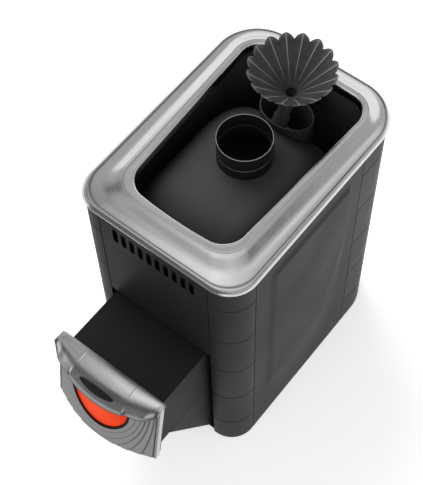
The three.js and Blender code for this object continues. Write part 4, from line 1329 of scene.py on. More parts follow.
@dataclass
class Firebox:
    """The loaf-shaped firebox in the hopper, with its inner parts and the hopper's sheets."""

    casing: Casing
    half: float = 145.0
    ends: Point2 = (75.0, 450.0)
    wall: float = 4.0
    top: float = 702.0
    shoulder: float = 78.0
    crown: float = 6.0
    front_round: float = 100.0
    rear_slope: float = 125.0
    rear_drop: float = 60.0
    bottom: float = 240.0
    tunnel_half: float = 126.0
    tunnel_top: float = 418.0
    mouth_reach: Point2 = (-2.0, 6.0)
    liner_inset: float = 20.0
    liner_sheet: float = 1.5
    liner_span: Point2 = (330.0, 738.5)
    clear: float = 5.0
    flue: Point2 = (300.0, 59.0)
    flue_cut: Point2 = (600.0, 800.0)
    length_points: tuple[int, int, int] = (25, 6, 20)
    shoulder_steps: int = 20
    crown_points: int = 12
    plate_edge: float = 0.6
    grate_edge: float = 1.5
    plates: tuple[str, ...] = (
        "stone_tray", "firebox_floor", "flame_baffle", "firebox_support_left", "firebox_support_right",
        "grate_ledge_left", "grate_ledge_right",
    )

    def top_at(self, y: float) -> float:
        """Gives the height of the loaf's top along its length.

        Args:
            y: the place along it.

        Returns:
            The height.
        """
        ahead = min((y - self.ends[0]) / self.front_round, 1)
        behind = min((self.ends[1] - y) / self.rear_slope, 1)
        front = self.front_round * (1 - sqrt(1 - (1 - ahead) ** 2))
        return self.top - front - self.rear_drop * (1 - behind) ** 2

    def loaf(self, name: str, grow: float, bottom: float) -> Piece:
        """Makes the loaf's form, grown or shrunk on every side.

        Args:
            name: the piece's name.
            grow: distance that it grows by.
            bottom: height of its open foot.

        Returns:
            The new object.
        """
        half, shoulder = self.half + grow, self.shoulder + grow
        wide, radii = half - shoulder, (shoulder, shoulder)
        near, far = self.ends
        length = far - near
        in_front, in_middle, in_rear = self.length_points
        front = near + self.front_round * (1 - np.cos(np.linspace(0, pi / 2, in_front)))
        middle = np.linspace(front[-1], far - self.rear_slope, in_middle)[1:]
        rear = np.linspace(middle[-1], far, in_rear)[1:]
        rings = []
        for y in [*front, *middle, *rear]:
            along = near - grow + (length + 2 * grow) * ((y - near) / length)
            top = self.top_at(y) + grow
            arch = quarter((wide, top - shoulder), radii, 0, self.shoulder_steps)
            flat = np.linspace(wide, -wide, self.crown_points)[1:-1]
            arch += [(x, top + self.crown * (1 - (x / wide) ** 2)) for x in flat]
            arch += quarter((-wide, top - shoulder), radii, 1, self.shoulder_steps)
            rings.append([(x, along, z) for x, z in [(half, bottom), *arch, (-half, bottom)]])
        return skin(name, np.array(rings))

    def passage(self, name: str, ends: Point2) -> Piece:
        """Makes the tool that cuts the tunnel's way through a wall."""
        wide = self.tunnel_half + GAP
        return prism(name, square((-wide, wide), ends), (0, self.tunnel_top + GAP))

    def shell(self) -> None:
        """Builds the loaf's plate, with its mouth and its flue hole."""
        plate = self.loaf("firebox_shell_plate", 0, self.bottom)
        hollow = self.loaf("hollow", -self.wall, 0)
        front, rear = (self.ends[0] + reach for reach in self.mouth_reach)
        mouth = self.passage("mouth", (front, rear))
        y, radius = self.flue
        hole = turned("hole", square((0, radius + GAP), self.flue_cut), (0, y), PIPE_SIDES)
        combine(plate, [hollow, mouth, hole])
        dress(smooth(plate, Crease.HIGH), BOX_STEEL, Body.STOVE, "firebox_shell")

    def liner(self) -> None:
        """Builds the hopper's inner wall, with its cut-out for the tunnel."""
        c, (low, high) = self.casing, self.liner_span
        wall = prism("hopper_liner_sheet", c.outline(self.liner_inset), (low, high))
        inside = c.outline(self.liner_inset + self.liner_sheet)
        room = prism("room", inside, (low - self.clear, high + self.clear))
        combine(wall, [room, self.passage("passage", (0, self.ends[0]))])
        dress(smooth(wall, Crease.LOW), LIT_LINER_STEEL, Body.STOVE, "hopper_liner")

    def build(self) -> None:
        """Builds the shell and the liner, and dresses what is in them."""
        self.shell()
        self.liner()
        for node in self.plates:
            dress_sheet(node, LIT_LINER_STEEL, Body.STOVE, self.plate_edge)
        dress_sheet("fire_grate", CAST_IRON, Body.STOVE, self.grate_edge)


@dataclass
class FlueCollar:
    """The round chimney collar: a stub on the firebox and a ring that stands on it."""

    centre: Point2 = (0.0, 300.0)
    bore: float = 57.5
    wall: float = 1.5
    foot: float = 698.0
    seam: float = 735.0
    top: float = 773.0
    spigot: float = 16.0
    edge: float = 0.5
    edge_width: float = 0.8
    near: float = 0.1
    # Shares of painted highlight on the stub's seam edge, the ring's seam edge and the rim.
    stub_highlight: float = 0.35
    ring_highlight: float = 0.3
    rim_highlight: float = 0.8

    def tube(self, node: str, section: Sequence[Point2], light_and_wear: LightAndWearRule) -> None:
        """Turns one of the collar's tubes and dresses it.

        Args:
            node: the CAD node that it stands for.
            section: its section.
            light_and_wear: tells the painted highlights on its edges.
        """
        piece = turned(f"{node}_tube", section, self.centre)
        store_light_and_wear(piece, light_and_wear)
        dress(smooth(piece, Crease.HIGH), COLLAR_STEEL, Body.STOVE, node)

    def build(self) -> None:
        """Turns the stub and the ring, and paints highlights on the seam's edges and the rim."""
        bore, seam, r = self.bore, self.seam, self.edge
        outer, line = bore + self.wall, self.edge_width
        stub = [
            (bore, self.foot), (outer, self.foot), (outer, seam - r - line), (outer, seam - r),
            (outer - r, seam), (bore, seam), (bore, seam - line),
        ]
        self.tube("collar_stub", stub, lambda p: self.stub_highlight * (p[:, 2] > seam - r - self.near))
        seat, top, plug = seam + GAP, self.top - 2 * r, bore - GAP
        inner, step, tip = plug - self.wall, seat + self.wall, seam - self.spigot
        ring = [
            (inner, tip), (plug, tip), (plug, seat), (outer - r, seat), (outer, seat + r),
            (outer, seat + r + line), (outer, top - line), (outer, top), (outer - r, self.top),
            (bore + r, self.top), (bore, top), (bore, top - line), (bore, step + r), (inner + r, step),
            (inner, step - r),
        ]

        def rubbed(p: Array) -> Array:
            """Tells the painted highlights on the rim and the seam's edge.

            Args:
                p: points of the ring.

            Returns:
                The share of painted highlight at each point.
            """
            outside = np.hypot(p[:, 0], p[:, 1] - self.centre[1]) > outer - r - self.near
            low = outside & (p[:, 2] < seat + r + self.near)
            return np.where(p[:, 2] > top - self.near, self.rim_highlight, np.where(low, self.ring_highlight, 0))

        self.tube("flue_ring", ring, rubbed)


@dataclass
class SteamFeed:
    """The fluted funnel, its leaning feed tube, and the pocket that turns the water to steam."""

    firebox: Firebox
    y: float = 459.0
    throat: Point2 = (12.0, 757.0)
    rim: Point2 = (88.0, 832.0)
    sheet: float = 2.0
    flutes: int = 16
    flute_steps: int = 20
    flute_rows: int = 15
    flute_height: float = 7.0
    flute_reach: float = 6.5
    flute_fade: float = 0.25
    lobe_arc: float = 0.94
    pleat_power: float = 1.3
    crest_fine: float = 26.0
    # Painted highlights along the pleats' crests and round the rim.
    crest_highlight: float = 0.75
    crest_from: Point2 = (10.0, 40.0)
    rim_line: Point2 = (0.5, 4.0)
    rim_highlight: float = 0.25
    lean: float = 30.0
    tube_radius: float = 15.0
    tube_wall: float = 1.6
    tube_length: float = 79.0
    stop: Point2 = (55.0, 5.0)
    stop_edge: float = 0.6
    sleeve_length: float = 18.0
    sleeve_wall: float = 2.4
    pocket_y: float = 446.0
    pocket_halves: Point2 = (64.0, 44.0)
    pocket_span: Point2 = (600.0, 706.0)
    pocket_sheet: float = 2.5
    clear: float = 5.0

    def oval(self, inset: float) -> list[Point2]:
        """Gives the pocket's plan outline moved inwards."""
        a, b = self.pocket_halves[0] - inset, self.pocket_halves[1] - inset
        return [(a * cos(t), self.pocket_y + b * sin(t)) for t in all_round()]

    def leaning(self, piece: Piece) -> Piece:
        """Puts a piece made on the origin's vertical axis onto the tube's leaning axis.

        Args:
            piece: the piece.

        Returns:
            The same piece.
        """
        piece.data.transform(Matrix.Translation((0, -FRONT_Y, 0)))
        piece.data.transform(Matrix.Rotation(-radians(self.lean), 4, "X"))
        piece.data.transform(Matrix.Translation((0, self.y * MM + FRONT_Y, self.throat[1] * MM)))
        return piece

    def funnel(self) -> None:
        """Folds the funnel: round lobes at its rim, and sharp pleats that run to its throat."""
        angles = all_round(self.flutes * self.flute_steps)
        turn = angles * self.flutes / (2 * pi)
        off = 2 * np.abs(turn - np.round(turn))
        lobe = 2 * np.sqrt(1 - self.lobe_arc * off**2) - 1
        pleat = 1 - 2 * off**self.pleat_power
        shares = np.linspace(0, 1, self.flute_rows)
        r = self.throat[0] + (self.rim[0] + self.flute_reach * lobe[:, None] - self.throat[0]) * shares
        z = self.throat[1] + (self.rim[1] - self.throat[1]) * shares
        z = z + self.flute_height * pleat[:, None] * shares * (1 - self.flute_fade * shares)
        wall = np.stack([r * np.cos(angles)[:, None], self.y + r * np.sin(angles)[:, None], z], axis=-1)
        under = wall[:, ::-1].copy()
        under[..., 2] -= self.sheet
        piece = skin("funnel_sheet", np.concatenate([wall, under], axis=1), loop=True)
        # Painted highlights on the crests and the rim are stored on the funnel.
        store_light_and_wear(piece, self.rubbed)
        dress(smooth(piece, Crease.SLIGHT), FUNNEL_STEEL, Body.FUNNEL, "funnel")

    def rubbed(self, points: Array) -> Array:
        """Tells the painted highlights on the crests of the funnel's pleats and the edge of its rim.

        Args:
            points: points of the funnel.

        Returns:
            The share of painted highlight at each point.
        """
        around = np.arctan2(points[:, 1] - self.y, points[:, 0]) * self.flutes / (2 * pi)
        crest = np.clip(1 - np.abs(around - np.round(around)) * self.crest_fine, 0, 1)
        reach = np.hypot(points[:, 0], points[:, 1] - self.y)
        start, width = self.rim_line
        edge = np.clip((reach - self.rim[0] + start) / width, 0, 1) * self.rim_highlight
        return np.maximum(self.crest_highlight * crest * smoothstep(*self.crest_from, reach), edge)

    def tube(self) -> None:
        """Turns the feed tube with its stop ring, cut off under the funnel."""
        outer, bore, foot = self.tube_radius, self.tube_radius - self.tube_wall, -self.tube_length
        collar, r = outer + self.sleeve_wall, self.stop_edge
        low, high = -self.stop[0] - self.stop[1], -self.stop[0]
        profile = [
            (bore, foot), (outer, foot), (outer, low), (collar - r, low), (collar, low + r),
            (collar, high - r), (collar - r, high), (outer, high), (outer, outer), (bore, outer),
        ]
        piece = self.leaning(turned("feed_tube_pipe", profile, (0, 0), PIPE_SIDES))
        (narrow, start), (wide, end) = self.throat, self.rim
        base = start - self.sheet - 2 * GAP
        slope = (end - start) / (wide - narrow)
        cone = [(0, base), (narrow, base), (wide, base + slope * (wide - narrow)), (wide, end), (0, end)]
        combine(piece, [turned("cone", cone, (0, self.y))])
        dress(smooth(piece, Crease.MIDDLE), FUNNEL_STEEL, Body.FUNNEL, "feed_tube")

    def pocket(self) -> None:
        """Bends the pocket's oval wall and cuts it to the firebox."""
        low, high = self.pocket_span
        piece = prism("steam_pocket_sheet", self.oval(0), (low, high))
        room = prism("room", self.oval(self.pocket_sheet), (low + self.pocket_sheet, high + self.clear))
        combine(piece, [room, self.firebox.loaf("form", GAP, self.firebox.bottom)])
        dress(smooth(piece, Crease.MIDDLE), BOX_STEEL, Body.STOVE, "steam_pocket")

    def sleeve(self) -> None:
        """Turns the short sleeve that carries the tube in the pocket."""
        top = -self.stop[0] - self.stop[1] - GAP
        bore = self.tube_radius + GAP
        section = square((bore, bore + self.sleeve_wall), (top - self.sleeve_length, top))
        piece = self.leaning(turned("pocket_sleeve_pipe", section, (0, 0), PIPE_SIDES))
        room = prism("room", self.oval(self.pocket_sheet + GAP), (self.pocket_span[0], self.rim[1]))
        combine(piece, [room], Cut.COMMON)
        combine(piece, [self.firebox.loaf("form", GAP, self.firebox.bottom)])
        dress(smooth(piece, Crease.MIDDLE), BOX_STEEL, Body.STOVE, "pocket_sleeve")

    def build(self) -> None:
        """Builds and dresses the steam feed."""
        for make in (self.funnel, self.tube, self.pocket, self.sleeve):
            make()


# Door and tunnel


@dataclass
class Door:
    """The raked, bowed door: pressed panel, window, visor and the sheets behind it."""

    rake: float = 10.2
    foot: Point2 = (-191.0, 238.0)
    half: float = 141.0
    height: float = 206.0
    top_room: float = 2.5
    edge: float = 12.0
    sag: float = 32.0
    wall: float = 6.0
    flange: float = 20.0
    ridges: tuple[Point3, ...] = (
        (130.0, 330.0, 1.6), (122.0, 240.0, 1.6), (115.0, 198.0, 1.6), (107.0, 170.0, 0.7),
        (98.0, 146.0, 0.7),
    )
    outer_ridges: int = 3
    ridge_z: float = 180.0
    ridge_soft: float = 2.4
    # Painted shade lines along the pressed steps: line width and shift, then least share and the step for
    # full share.
    ridge_line: Point2 = (1.6, 0.6)
    ridge_shade: Point2 = (0.3, 2.6)
    groove_at: float = 134.5
    groove_depth: float = 1.6
    groove_flank: Point2 = (0.6, 1.6)
    groove_line: float = 1.9
    grid_step: float = 1.2
    hinge_pin: Point2 = (-148.0, 3.5)
    hinge_feet: tuple[tuple[str, float], ...] = (("lower", 34.0), ("upper", 124.0))
    pin_edge: float = 0.3
    lug: float = 12.0
    knuckle_height: float = 18.0
    knuckle_radii: Point2 = (3.3, 6.0)
    knuckle_edge: float = 0.6
    knuckle_sides: int = 40
    strap_end: float = -143.2
    strap_lap: float = 1.0
    strap_inset: float = 1.0
    window: Point3 = (76.0, 95.0, 150.0)
    window_room: float = 1.6
    window_steps: int = 64
    window_top_points: int = 17
    bead_width: float = 6.0
    bead_rise: float = 2.5
    bead_outside: Points = ((0.0, -1.2), (-1.0, -0.2), (-2.4, 0.0))
    bead_inside: Points = ((1.4, 0.0), (0.4, -0.5), (0.0, -1.5))
    bead_wall: float = 1.4
    bead_deep: float = 3.0
    glass: float = 4.0
    glass_lap: float = 5.0
    glass_sink: float = 1.5
    glass_room: float = 0.4
    glass_edge: Point2 = (1.0, 0.6)
    glass_heart: float = 0.42
    glass_shares: Point2 = (0.9, 0.02)
    glass_rings: int = 12
    glow_halves: Point2 = (70.0, 62.0)
    visor_half: float = 143.0
    visor_sheet: float = 3.0
    visor_thinned: float = 0.4
    visor_rear: float = 4.0
    visor_fall: Point2 = (18.0, 2.5)
    visor_room: Point2 = (0.5, 0.8)
    visor_tip: float = 16.0
    visor_step: float = 1.0
    least_reach: float = 1.0
    visor_points: tuple[int, int, int, int] = (24, 20, 18, 14)
    visor_bend_points: int = 36
    crease: Point2 = (70.0, 76.0)
    crease_room: Point2 = (4.0, 3.0)
    crease_line: Point2 = (0.2, 1.5)
    nose: Point3 = (6.0, 13.5, 16.0)
    lobe_taper: float = 116.0
    drop: Point3 = (4.0, 38.0, 50.0)
    drop_rise: float = 8.0
    lobe_round: float = 100.0
    # Painted shade and darker reflection on the visor's lower edge, its ends and the notches at its creases.
    edge_shade: float = 0.85
    edge_fall: Point2 = (0.86, 0.99)
    end_shade: float = 0.8
    end_reach: Point2 = (104.0, 138.0)
    end_fall: Point2 = (0.2, 0.75)
    notch_shade: float = 0.9
    notch_width: float = 5.0
    notch_fall: Point2 = (0.6, 0.85)
    badge: Point3 = (46.0, 0.15, 2.0)
    badge_turn: float = 0.96
    badge_steps: Points = (
        (1.0, 0.1), (1.0, 0.8), (0.985, 1.0), (0.93, 1.0), (0.9, 0.6), (0.6, 0.7), (0.3, 0.75), (0.02, 0.8),
    )
    badge_border: Point2 = (0.85, 0.25)
    seal_size: Point2 = (8.0, 5.4)
    seal_corner: float = 3.0
    strand: Point2 = (4.6, 2.1)
    strand_pitch: float = 3.1
    strand_lay: float = 38.0
    sheets: tuple[Sheet, ...] = (
        ("door_frame", TUNNEL_STEEL, Body.STOVE, 0.6),
        ("heat_shield", BLACK_STEEL, Body.DOOR, 0.4),
        ("glass_retainer", BLACK_STEEL, Body.DOOR, 0.3),
        ("glass_gasket", ROPE, Body.DOOR, 0.4),
    )

    @property
    def face(self) -> float:
        """How far the pressed ridges stand out of the bowed face."""
        return sum(rise for _, _, rise in self.ridges[: self.outer_ridges])

    @property
    def tilt(self) -> Point2:
        """The sine and the cosine of the door's rake."""
        return sin(radians(self.rake)), cos(radians(self.rake))

    @property
    def visor_top(self) -> float:
        """How high the visor's top lies over the door's foot."""
        return self.height + 2 * GAP + self.visor_sheet

    def bow(self, x: Array) -> Array:
        """Gives how far the face stands in front of the back plane."""
        return self.edge + self.sag * (1 - (np.minimum(np.abs(x), self.half) / self.half) ** 2)

    def on_face(self, x: float, out: float, z: float) -> Point3:
        """Gives a point that stands out of the bowed face."""
        return x, -float(self.bow(x)) - out, z

    def lean(self, points: Array) -> Array:
        """Turns points of the door's own frame into the stove's frame.

        Args:
            points: points with y = 0 on the back plane and z = 0 at the foot.

        Returns:
            The points in the stove's frame.
        """
        s, c = self.tilt
        x, y, z = points[..., 0], points[..., 1], points[..., 2]
        return np.stack([x, self.foot[0] + y * c + z * s, self.foot[1] - y * s + z * c], axis=-1)

    def own_height(self, points: Array) -> Array:
        """Gives how far up the door's own back plane points of the stove's frame are."""
        s, c = self.tilt
        return (points[:, 1] - self.foot[0]) * s + (points[:, 2] - self.foot[1]) * c

    def inside_ridge(self, x: Array, z: Array, half: float, depth: float) -> Array:
        """Gives how far inside a pressed ridge's edge places on the door are; negative outside."""
        down = np.clip(self.ridge_z - z, 0, None)
        return (1 - np.sqrt((x / half) ** 2 + (down / depth) ** 2)) * half

    def relief(self, x: Array, z: Array) -> Array:
        """Gives the height of the pressed ridges over the bowed face.

        Args:
            x: places across the door.
            z: places up the door.

        Returns:
            The height at each place.
        """
        soft = self.ridge_soft / 2
        rise = np.zeros_like(x)
        for half, depth, step in self.ridges:
            rise += step * smoothstep(-soft, soft, self.inside_ridge(x, z, half, depth))
        groove = 1 - smoothstep(*self.groove_flank, np.abs(np.abs(x) - self.groove_at))
        return rise - self.groove_depth * groove

    def step_shade(self, points: Array) -> Array:
        """Tells the painted shade lines along the pressed steps and in the edge groove.

        Args:
            points: points in the stove's frame.

        Returns:
            The share of painted shade at each point.
        """
        x, z = points[:, 0], self.own_height(points)
        (wide, shift), (least, steep) = self.ridge_line, self.ridge_shade
        # Painted shade: darker lines in the edge groove and along each pressed step, deeper for higher steps.
        dark = np.clip(self.groove_line - np.abs(np.abs(x) - self.groove_at), 0, 1)
        for half, depth, step in self.ridges:
            line = wide - np.abs(self.inside_ridge(x, z, half, depth) + shift)
            dark = np.maximum(dark, np.clip(line, 0, 1) * min(1.0, least + step / steep))
        return dark

    def panel(self) -> None:
        """Presses the door's panel, open at the window and hollow behind."""
        xs = np.linspace(-self.half, self.half, int(2 * self.half / self.grid_step))
        zs = np.linspace(0, self.height - self.top_room, int(self.height / self.grid_step))
        x, z = np.meshgrid(xs, zs, indexing="ij")
        reach = np.minimum(self.bow(x) + self.relief(x, z), self.under_hood(x, z))
        face = np.stack([x, -reach, z], axis=-1)
        deep = (np.abs(x) < self.half - self.flange) & (z > self.edge) & (z < self.height - self.edge)
        back = np.stack([x, np.where(deep, self.wall - self.bow(x), 0), z], axis=-1)
        half, depth, top = self.window
        room = self.window_room
        middle_x = (x[1:, 1:] + x[:-1, :-1]) / 2
        middle_z = (z[1:, 1:] + z[:-1, :-1]) / 2
        down = np.clip(top - middle_z, 0, None)
        open_part = np.hypot(middle_x / (half + room), down / (depth + room)) < 1
        keep = ~(open_part & (middle_z < top + room))
        piece = slab("door_panel_plate", self.lean(face), self.lean(back), keep)
        # Stores the painted shade of the steps and the groove on the panel.
        store_light_and_wear(smooth(piece, Crease.FIRM), self.step_shade)
        dress(piece, DOOR_STEEL, Body.DOOR, "door_panel")

    def hinges(self) -> None:
        """Dresses the hinge pins, and turns the door's knuckles and the straps that hold them."""
        for name, _ in self.hinge_feet:
            dress_sheet(f"hinge_pin_{name}", ZINC, Body.STOVE, self.pin_edge)
        (x, y), (bore, outer), r = self.hinge_pin, self.knuckle_radii, self.knuckle_edge
        front, back = self.strap_inset - self.edge, -GAP
        for name, foot in self.hinge_feet:
            low = foot + self.lug + GAP
            high = low + self.knuckle_height
            section = [
                (outer, low + r), (outer - r, low), (bore, low), (bore, high), (outer - r, high),
                (outer, high - r),
            ]
            rings = [
                [(x + radius * cos(a), y + radius * sin(a), z) for radius, z in section]
                for a in all_round(self.knuckle_sides)
            ]
            knuckle = skin(f"hinge_knuckle_{name}", self.lean(np.array(rings)), loop=True)
            dress(smooth(knuckle, Crease.MIDDLE), DOOR_STEEL, Body.DOOR)
            bar = square((front, back), (low, high))
            ends = (self.strap_end, self.strap_lap - self.half)
            arm = np.array([[(end, depth, z) for depth, z in bar] for end in ends])
            strap = skin(f"hinge_strap_{name}", self.lean(arm))
            dress(round_edges(strap, self.knuckle_edge), DOOR_STEEL, Body.DOOR)

    def moon(self, margin: float) -> list[Point4]:
        """Gives the window's outline grown by a margin, with the outward direction at each point.

        Args:
            margin: how far it is grown.

        Returns:
            A closed list of (x, z, outward x, outward z).
        """
        half, depth, top = self.window
        made = []
        for a in np.linspace(pi, 2 * pi, self.window_steps + 1):
            out = Vector((cos(a) / half, sin(a) / depth)).normalized()
            x, z = half * cos(a), top + depth * sin(a)
            made.append((x + margin * out.x, z + margin * out.y, out.x, out.y))
        for x in np.linspace(half, -half, self.window_top_points):
            corner = x + copysign(margin, x)
            made.append((corner if abs(x) == half else x, top + margin, 0.0, 1.0))
        return made

    def bead(self) -> None:
        """Runs the window's bead: a rounded lip on the panel and a wall down to the glass."""
        low, high = self.face + GAP, self.face + GAP + self.bead_rise
        glass = self.face - self.glass_sink - self.bead_deep
        width, wall = self.bead_width, self.bead_wall
        section = [
            (width, low),
            *((width + m, high + out) for m, out in self.bead_outside),
            *((m, high + out) for m, out in self.bead_inside),
            (0, glass), (wall, glass), (wall, low),
        ]
        rings = [
            [self.on_face(x + ox * m, out, z + oz * m) for m, out in section] for x, z, ox, oz in self.moon(0)
        ]
        piece = skin("window_bead_trim", self.lean(np.array(rings)), loop=True)
        dress(smooth(piece, Crease.HIGH), BLACK_STEEL, Body.DOOR, "window_bead")

    def pane(self) -> None:
        """Bends the window's glass behind the panel, and marks the heart of its glow."""
        _, depth, top = self.window
        lap, seat, room = self.glass_lap, GAP - self.wall, self.glass_room
        flat, (inset, sunk) = self.face - self.glass_sink, self.glass_edge
        centre = top - self.glass_heart * depth
        wide, small = self.glass_shares

        def shrunk(share: float, out: float) -> list[Point3]:
            """Gives the glass's outline drawn in towards its heart."""
            edge = self.moon(-inset)
            return [self.on_face(x * share, out, centre + (z - centre) * share) for x, z, _, _ in edge]

        rings = [shrunk(small, seat - self.glass)]
        steps = [(lap, seat - self.glass), (lap, seat), (-room, seat), (-room, flat - sunk), (-inset, flat)]
        for margin, out in steps:
            rings.append([self.on_face(x, out, z) for x, z, _, _ in self.moon(margin)])
        rings += [shrunk(share, flat) for share in np.linspace(wide, small, self.glass_rings)]
        piece = skin("window_glass_pane", self.lean(np.array(rings)))
        middle, (a, b) = self.lean(np.array([0.0, 0.0, centre])), self.glow_halves
        store_light_and_wear(piece, lambda p: 1 - (p[:, 0] / a) ** 2 - ((p[:, 2] - middle[2]) / b) ** 2)
        dress(smooth(piece, Crease.MIDDLE), HOT_GLASS, Body.DOOR, "window_glass")

    def between_creases(self, x: Array) -> Array:
        """Gives 1 between the visor's creases and 0 outside them."""
        return 1 - smoothstep(*self.crease, np.abs(x))

    def nose_at(self, x: Array) -> Array:
        """Gives how far the visor's front stands out across its width.

        Args:
            x: places across it.

        Returns:
            The reach at each place.
        """
        end, lobe_out, middle_out = self.nose
        lobe = end + (lobe_out - end) * smoothstep(self.visor_half, self.lobe_taper, np.abs(x))
        out = lobe + (middle_out - lobe) * self.between_creases(x)
        return self.bow(x) + self.face + GAP + self.visor_sheet + out

    def drop_at(self, x: Array) -> Array:
        """Gives how far the visor's front hangs down across its width.

        Args:
            x: places across it.

        Returns:
            The drop at each place.
        """
        wide = np.abs(x)
        end, lobe_drop, middle_drop = self.drop
        past = np.clip((wide - self.lobe_round) / (self.visor_half - self.lobe_round), 0, 1)
        lobe = end + (lobe_drop - end) * np.sqrt(1 - past**2)
        hang = middle_drop - self.drop_rise * (wide / self.crease[0]) ** 2
        return lobe + (hang - lobe) * self.between_creases(x)

    def hood(self, x: Array, turn: Array) -> Array:
        """Gives points of the visor's outer face in the door's own frame.

        Args:
            x: places across it.
            turn: places round its bend in radians; 0 is the rear edge and a right angle the lower edge.

        Returns:
            The points.
        """
        wide = np.abs(x)
        nose, drop = self.nose_at(x), self.drop_at(x)
        (end, fall), (height, width) = self.visor_fall, self.crease_line
        top = self.visor_top - fall * smoothstep(self.visor_half - end, self.visor_half, wide) ** 2
        line = height * np.exp(-(((wide - self.crease[0]) / width) ** 2))
        y = self.visor_rear - (nose + self.visor_rear) * np.sin(turn)
        return np.stack([x, y, top + line - drop * (1 - np.cos(turn))], axis=-1)

    def under_hood(self, x: Array, z: Array) -> Array:
        """Gives how far out the panel may stand without showing through the visor.

        Args:
            x: places across the door.
            z: places up the door.

        Returns:
            The reach at each place; endless under the visor's lower edge.
        """
        before, behind = self.visor_room
        drop = self.drop_at(x) - self.visor_sheet
        fall = np.clip(self.height + 2 * GAP - z, 0, None) / np.maximum(drop, self.least_reach)
        reach = self.nose_at(x) - self.visor_sheet - before + self.visor_rear
        limit = reach * np.sqrt(np.clip(1 - (1 - fall) ** 2, 0, 1)) - self.visor_rear - behind
        return np.where(fall < 1, np.maximum(limit, self.least_reach), np.inf)

    def visor_places(self) -> Array:
        """Gives places across the visor, close together at its creases and its tips.

        Returns:
            The places, from left to right.
        """
        first, second = self.crease[0] - self.crease_room[0], self.crease[1] + self.crease_room[1]
        middle, fold, lobe, tip = self.visor_points
        last, step = self.visor_half - self.visor_tip, self.visor_step
        ends = self.visor_half - self.visor_tip * (1 - np.sin(np.linspace(0, pi / 2, tip)))
        right = [
            *np.linspace(0, first - step, middle), *np.linspace(first, second, fold),
            *np.linspace(second + step, last - step, lobe), *ends,
        ]
        return np.array([*[-x for x in right[:0:-1]], *right])

    def visor(self) -> None:
        """Bends the visor over the door's top, furthest out between its two creases."""
        turns = np.linspace(0, pi / 2, self.visor_bend_points)
        across, turn = np.meshgrid(self.visor_places(), turns, indexing="ij")
        outer = self.hood(across, turn)
        tangent = np.gradient(outer, axis=1)
        normal = np.stack([np.zeros_like(across), -tangent[..., 2], tangent[..., 1]], axis=-1)
        normal /= np.maximum(np.linalg.norm(normal, axis=-1, keepdims=True), TINY)
        inner = outer + normal * (self.visor_sheet - self.visor_thinned)
        piece = slab("door_visor_sheet", self.lean(outer), self.lean(inner))
        store_light_and_wear(smooth(piece, Crease.MIDDLE), self.visor_shade)
        dress(piece, VISOR_STEEL, Body.DOOR, "door_visor")

    def visor_shade(self, points: Array) -> Array:
        """Tells the painted shade and darker reflection on the visor's lower edge and its ends, and the
        painted shade in the notches at its creases.

        Args:
            points: points in the stove's frame.

        Returns:
            The share of painted shade and reflection at each point.
        """
        wide = np.abs(points[:, 0])
        fall = (self.visor_top - self.own_height(points)) / self.drop_at(points[:, 0])
        # Painted shade and darker reflection, stored on the visor.
        edge = self.edge_shade * smoothstep(*self.edge_fall, fall)
        ends = self.end_shade * smoothstep(*self.end_reach, wide) * smoothstep(*self.end_fall, fall)
        fold = np.exp(-(((wide - self.crease[1]) / self.notch_width) ** 2))
        notch = self.notch_shade * fold * smoothstep(*self.notch_fall, fall)
        return np.maximum(edge, np.maximum(ends, notch))

    def badge_plate(self) -> None:
        """Domes the blank oval plate on the visor's front, with a raised border."""
        half, tall, rise = self.badge
        border, narrow = self.badge_border
        angles = all_round()
        reach = float(self.nose_at(np.array(0.0))) + self.visor_rear
        out = np.array([0, -sin(self.badge_turn) * self.drop[2], cos(self.badge_turn) * reach])
        out /= np.linalg.norm(out)
        rings = []
        for share, height in self.badge_steps:
            wide = half * (1 - (1 - share) * narrow if share > border else share)
            face = self.hood(wide * np.cos(angles), self.badge_turn - tall * share * np.sin(angles))
            rings.append(face + out * (GAP + rise * height))
        piece = skin("badge_plate_oval", self.lean(np.array(rings)))
        dress(smooth(piece, Crease.MIDDLE), BADGE_STEEL, Body.DOOR, "badge_plate")

    def seal(self, rope: RopeAlongPath) -> None:
        """Lays the braided seal round the door frame.

        Args:
            rope: the tree that lays the strands.
        """
        low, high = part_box("door_seal")
        s, c = self.tilt
        wide, thick = self.seal_size
        y = GAP + thick / 2
        half = high.x / MM - wide / 2
        z0 = (low.z / MM - self.foot[1] + y * s) / c + wide / 2
        z1 = (high.z / MM - self.foot[1] + y * s) / c - wide / 2
        corners = (self.seal_corner, self.seal_corner)
        outline = box_outline((half, half), (z0, z1), corners, CORNER_STEPS)
        path = self.lean(np.array([(x, y, z) for x, z in outline]))
        piece = path_piece("door_seal_rope", path, True)
        long, deep = self.strand
        strand = (long * MM, thick / 2 * MM, deep * MM)
        lay = (0, 0, radians(self.strand_lay))
        rope.apply(piece, ROPE, Pitch=self.strand_pitch * MM, Strand=strand, Lay=lay)
        dress(smooth(piece, Crease.STEEP), ROPE, Body.STOVE, "door_seal")

    def build(self, rope: RopeAlongPath) -> None:
        """Builds and dresses the door and its frame.

        Args:
            rope: the tree that lays the seal's strands.
        """
        for make in (self.panel, self.hinges, self.bead, self.pane, self.visor, self.badge_plate):
            make()
        self.seal(rope)
        for sheet in self.sheets:
            dress_sheet(*sheet)


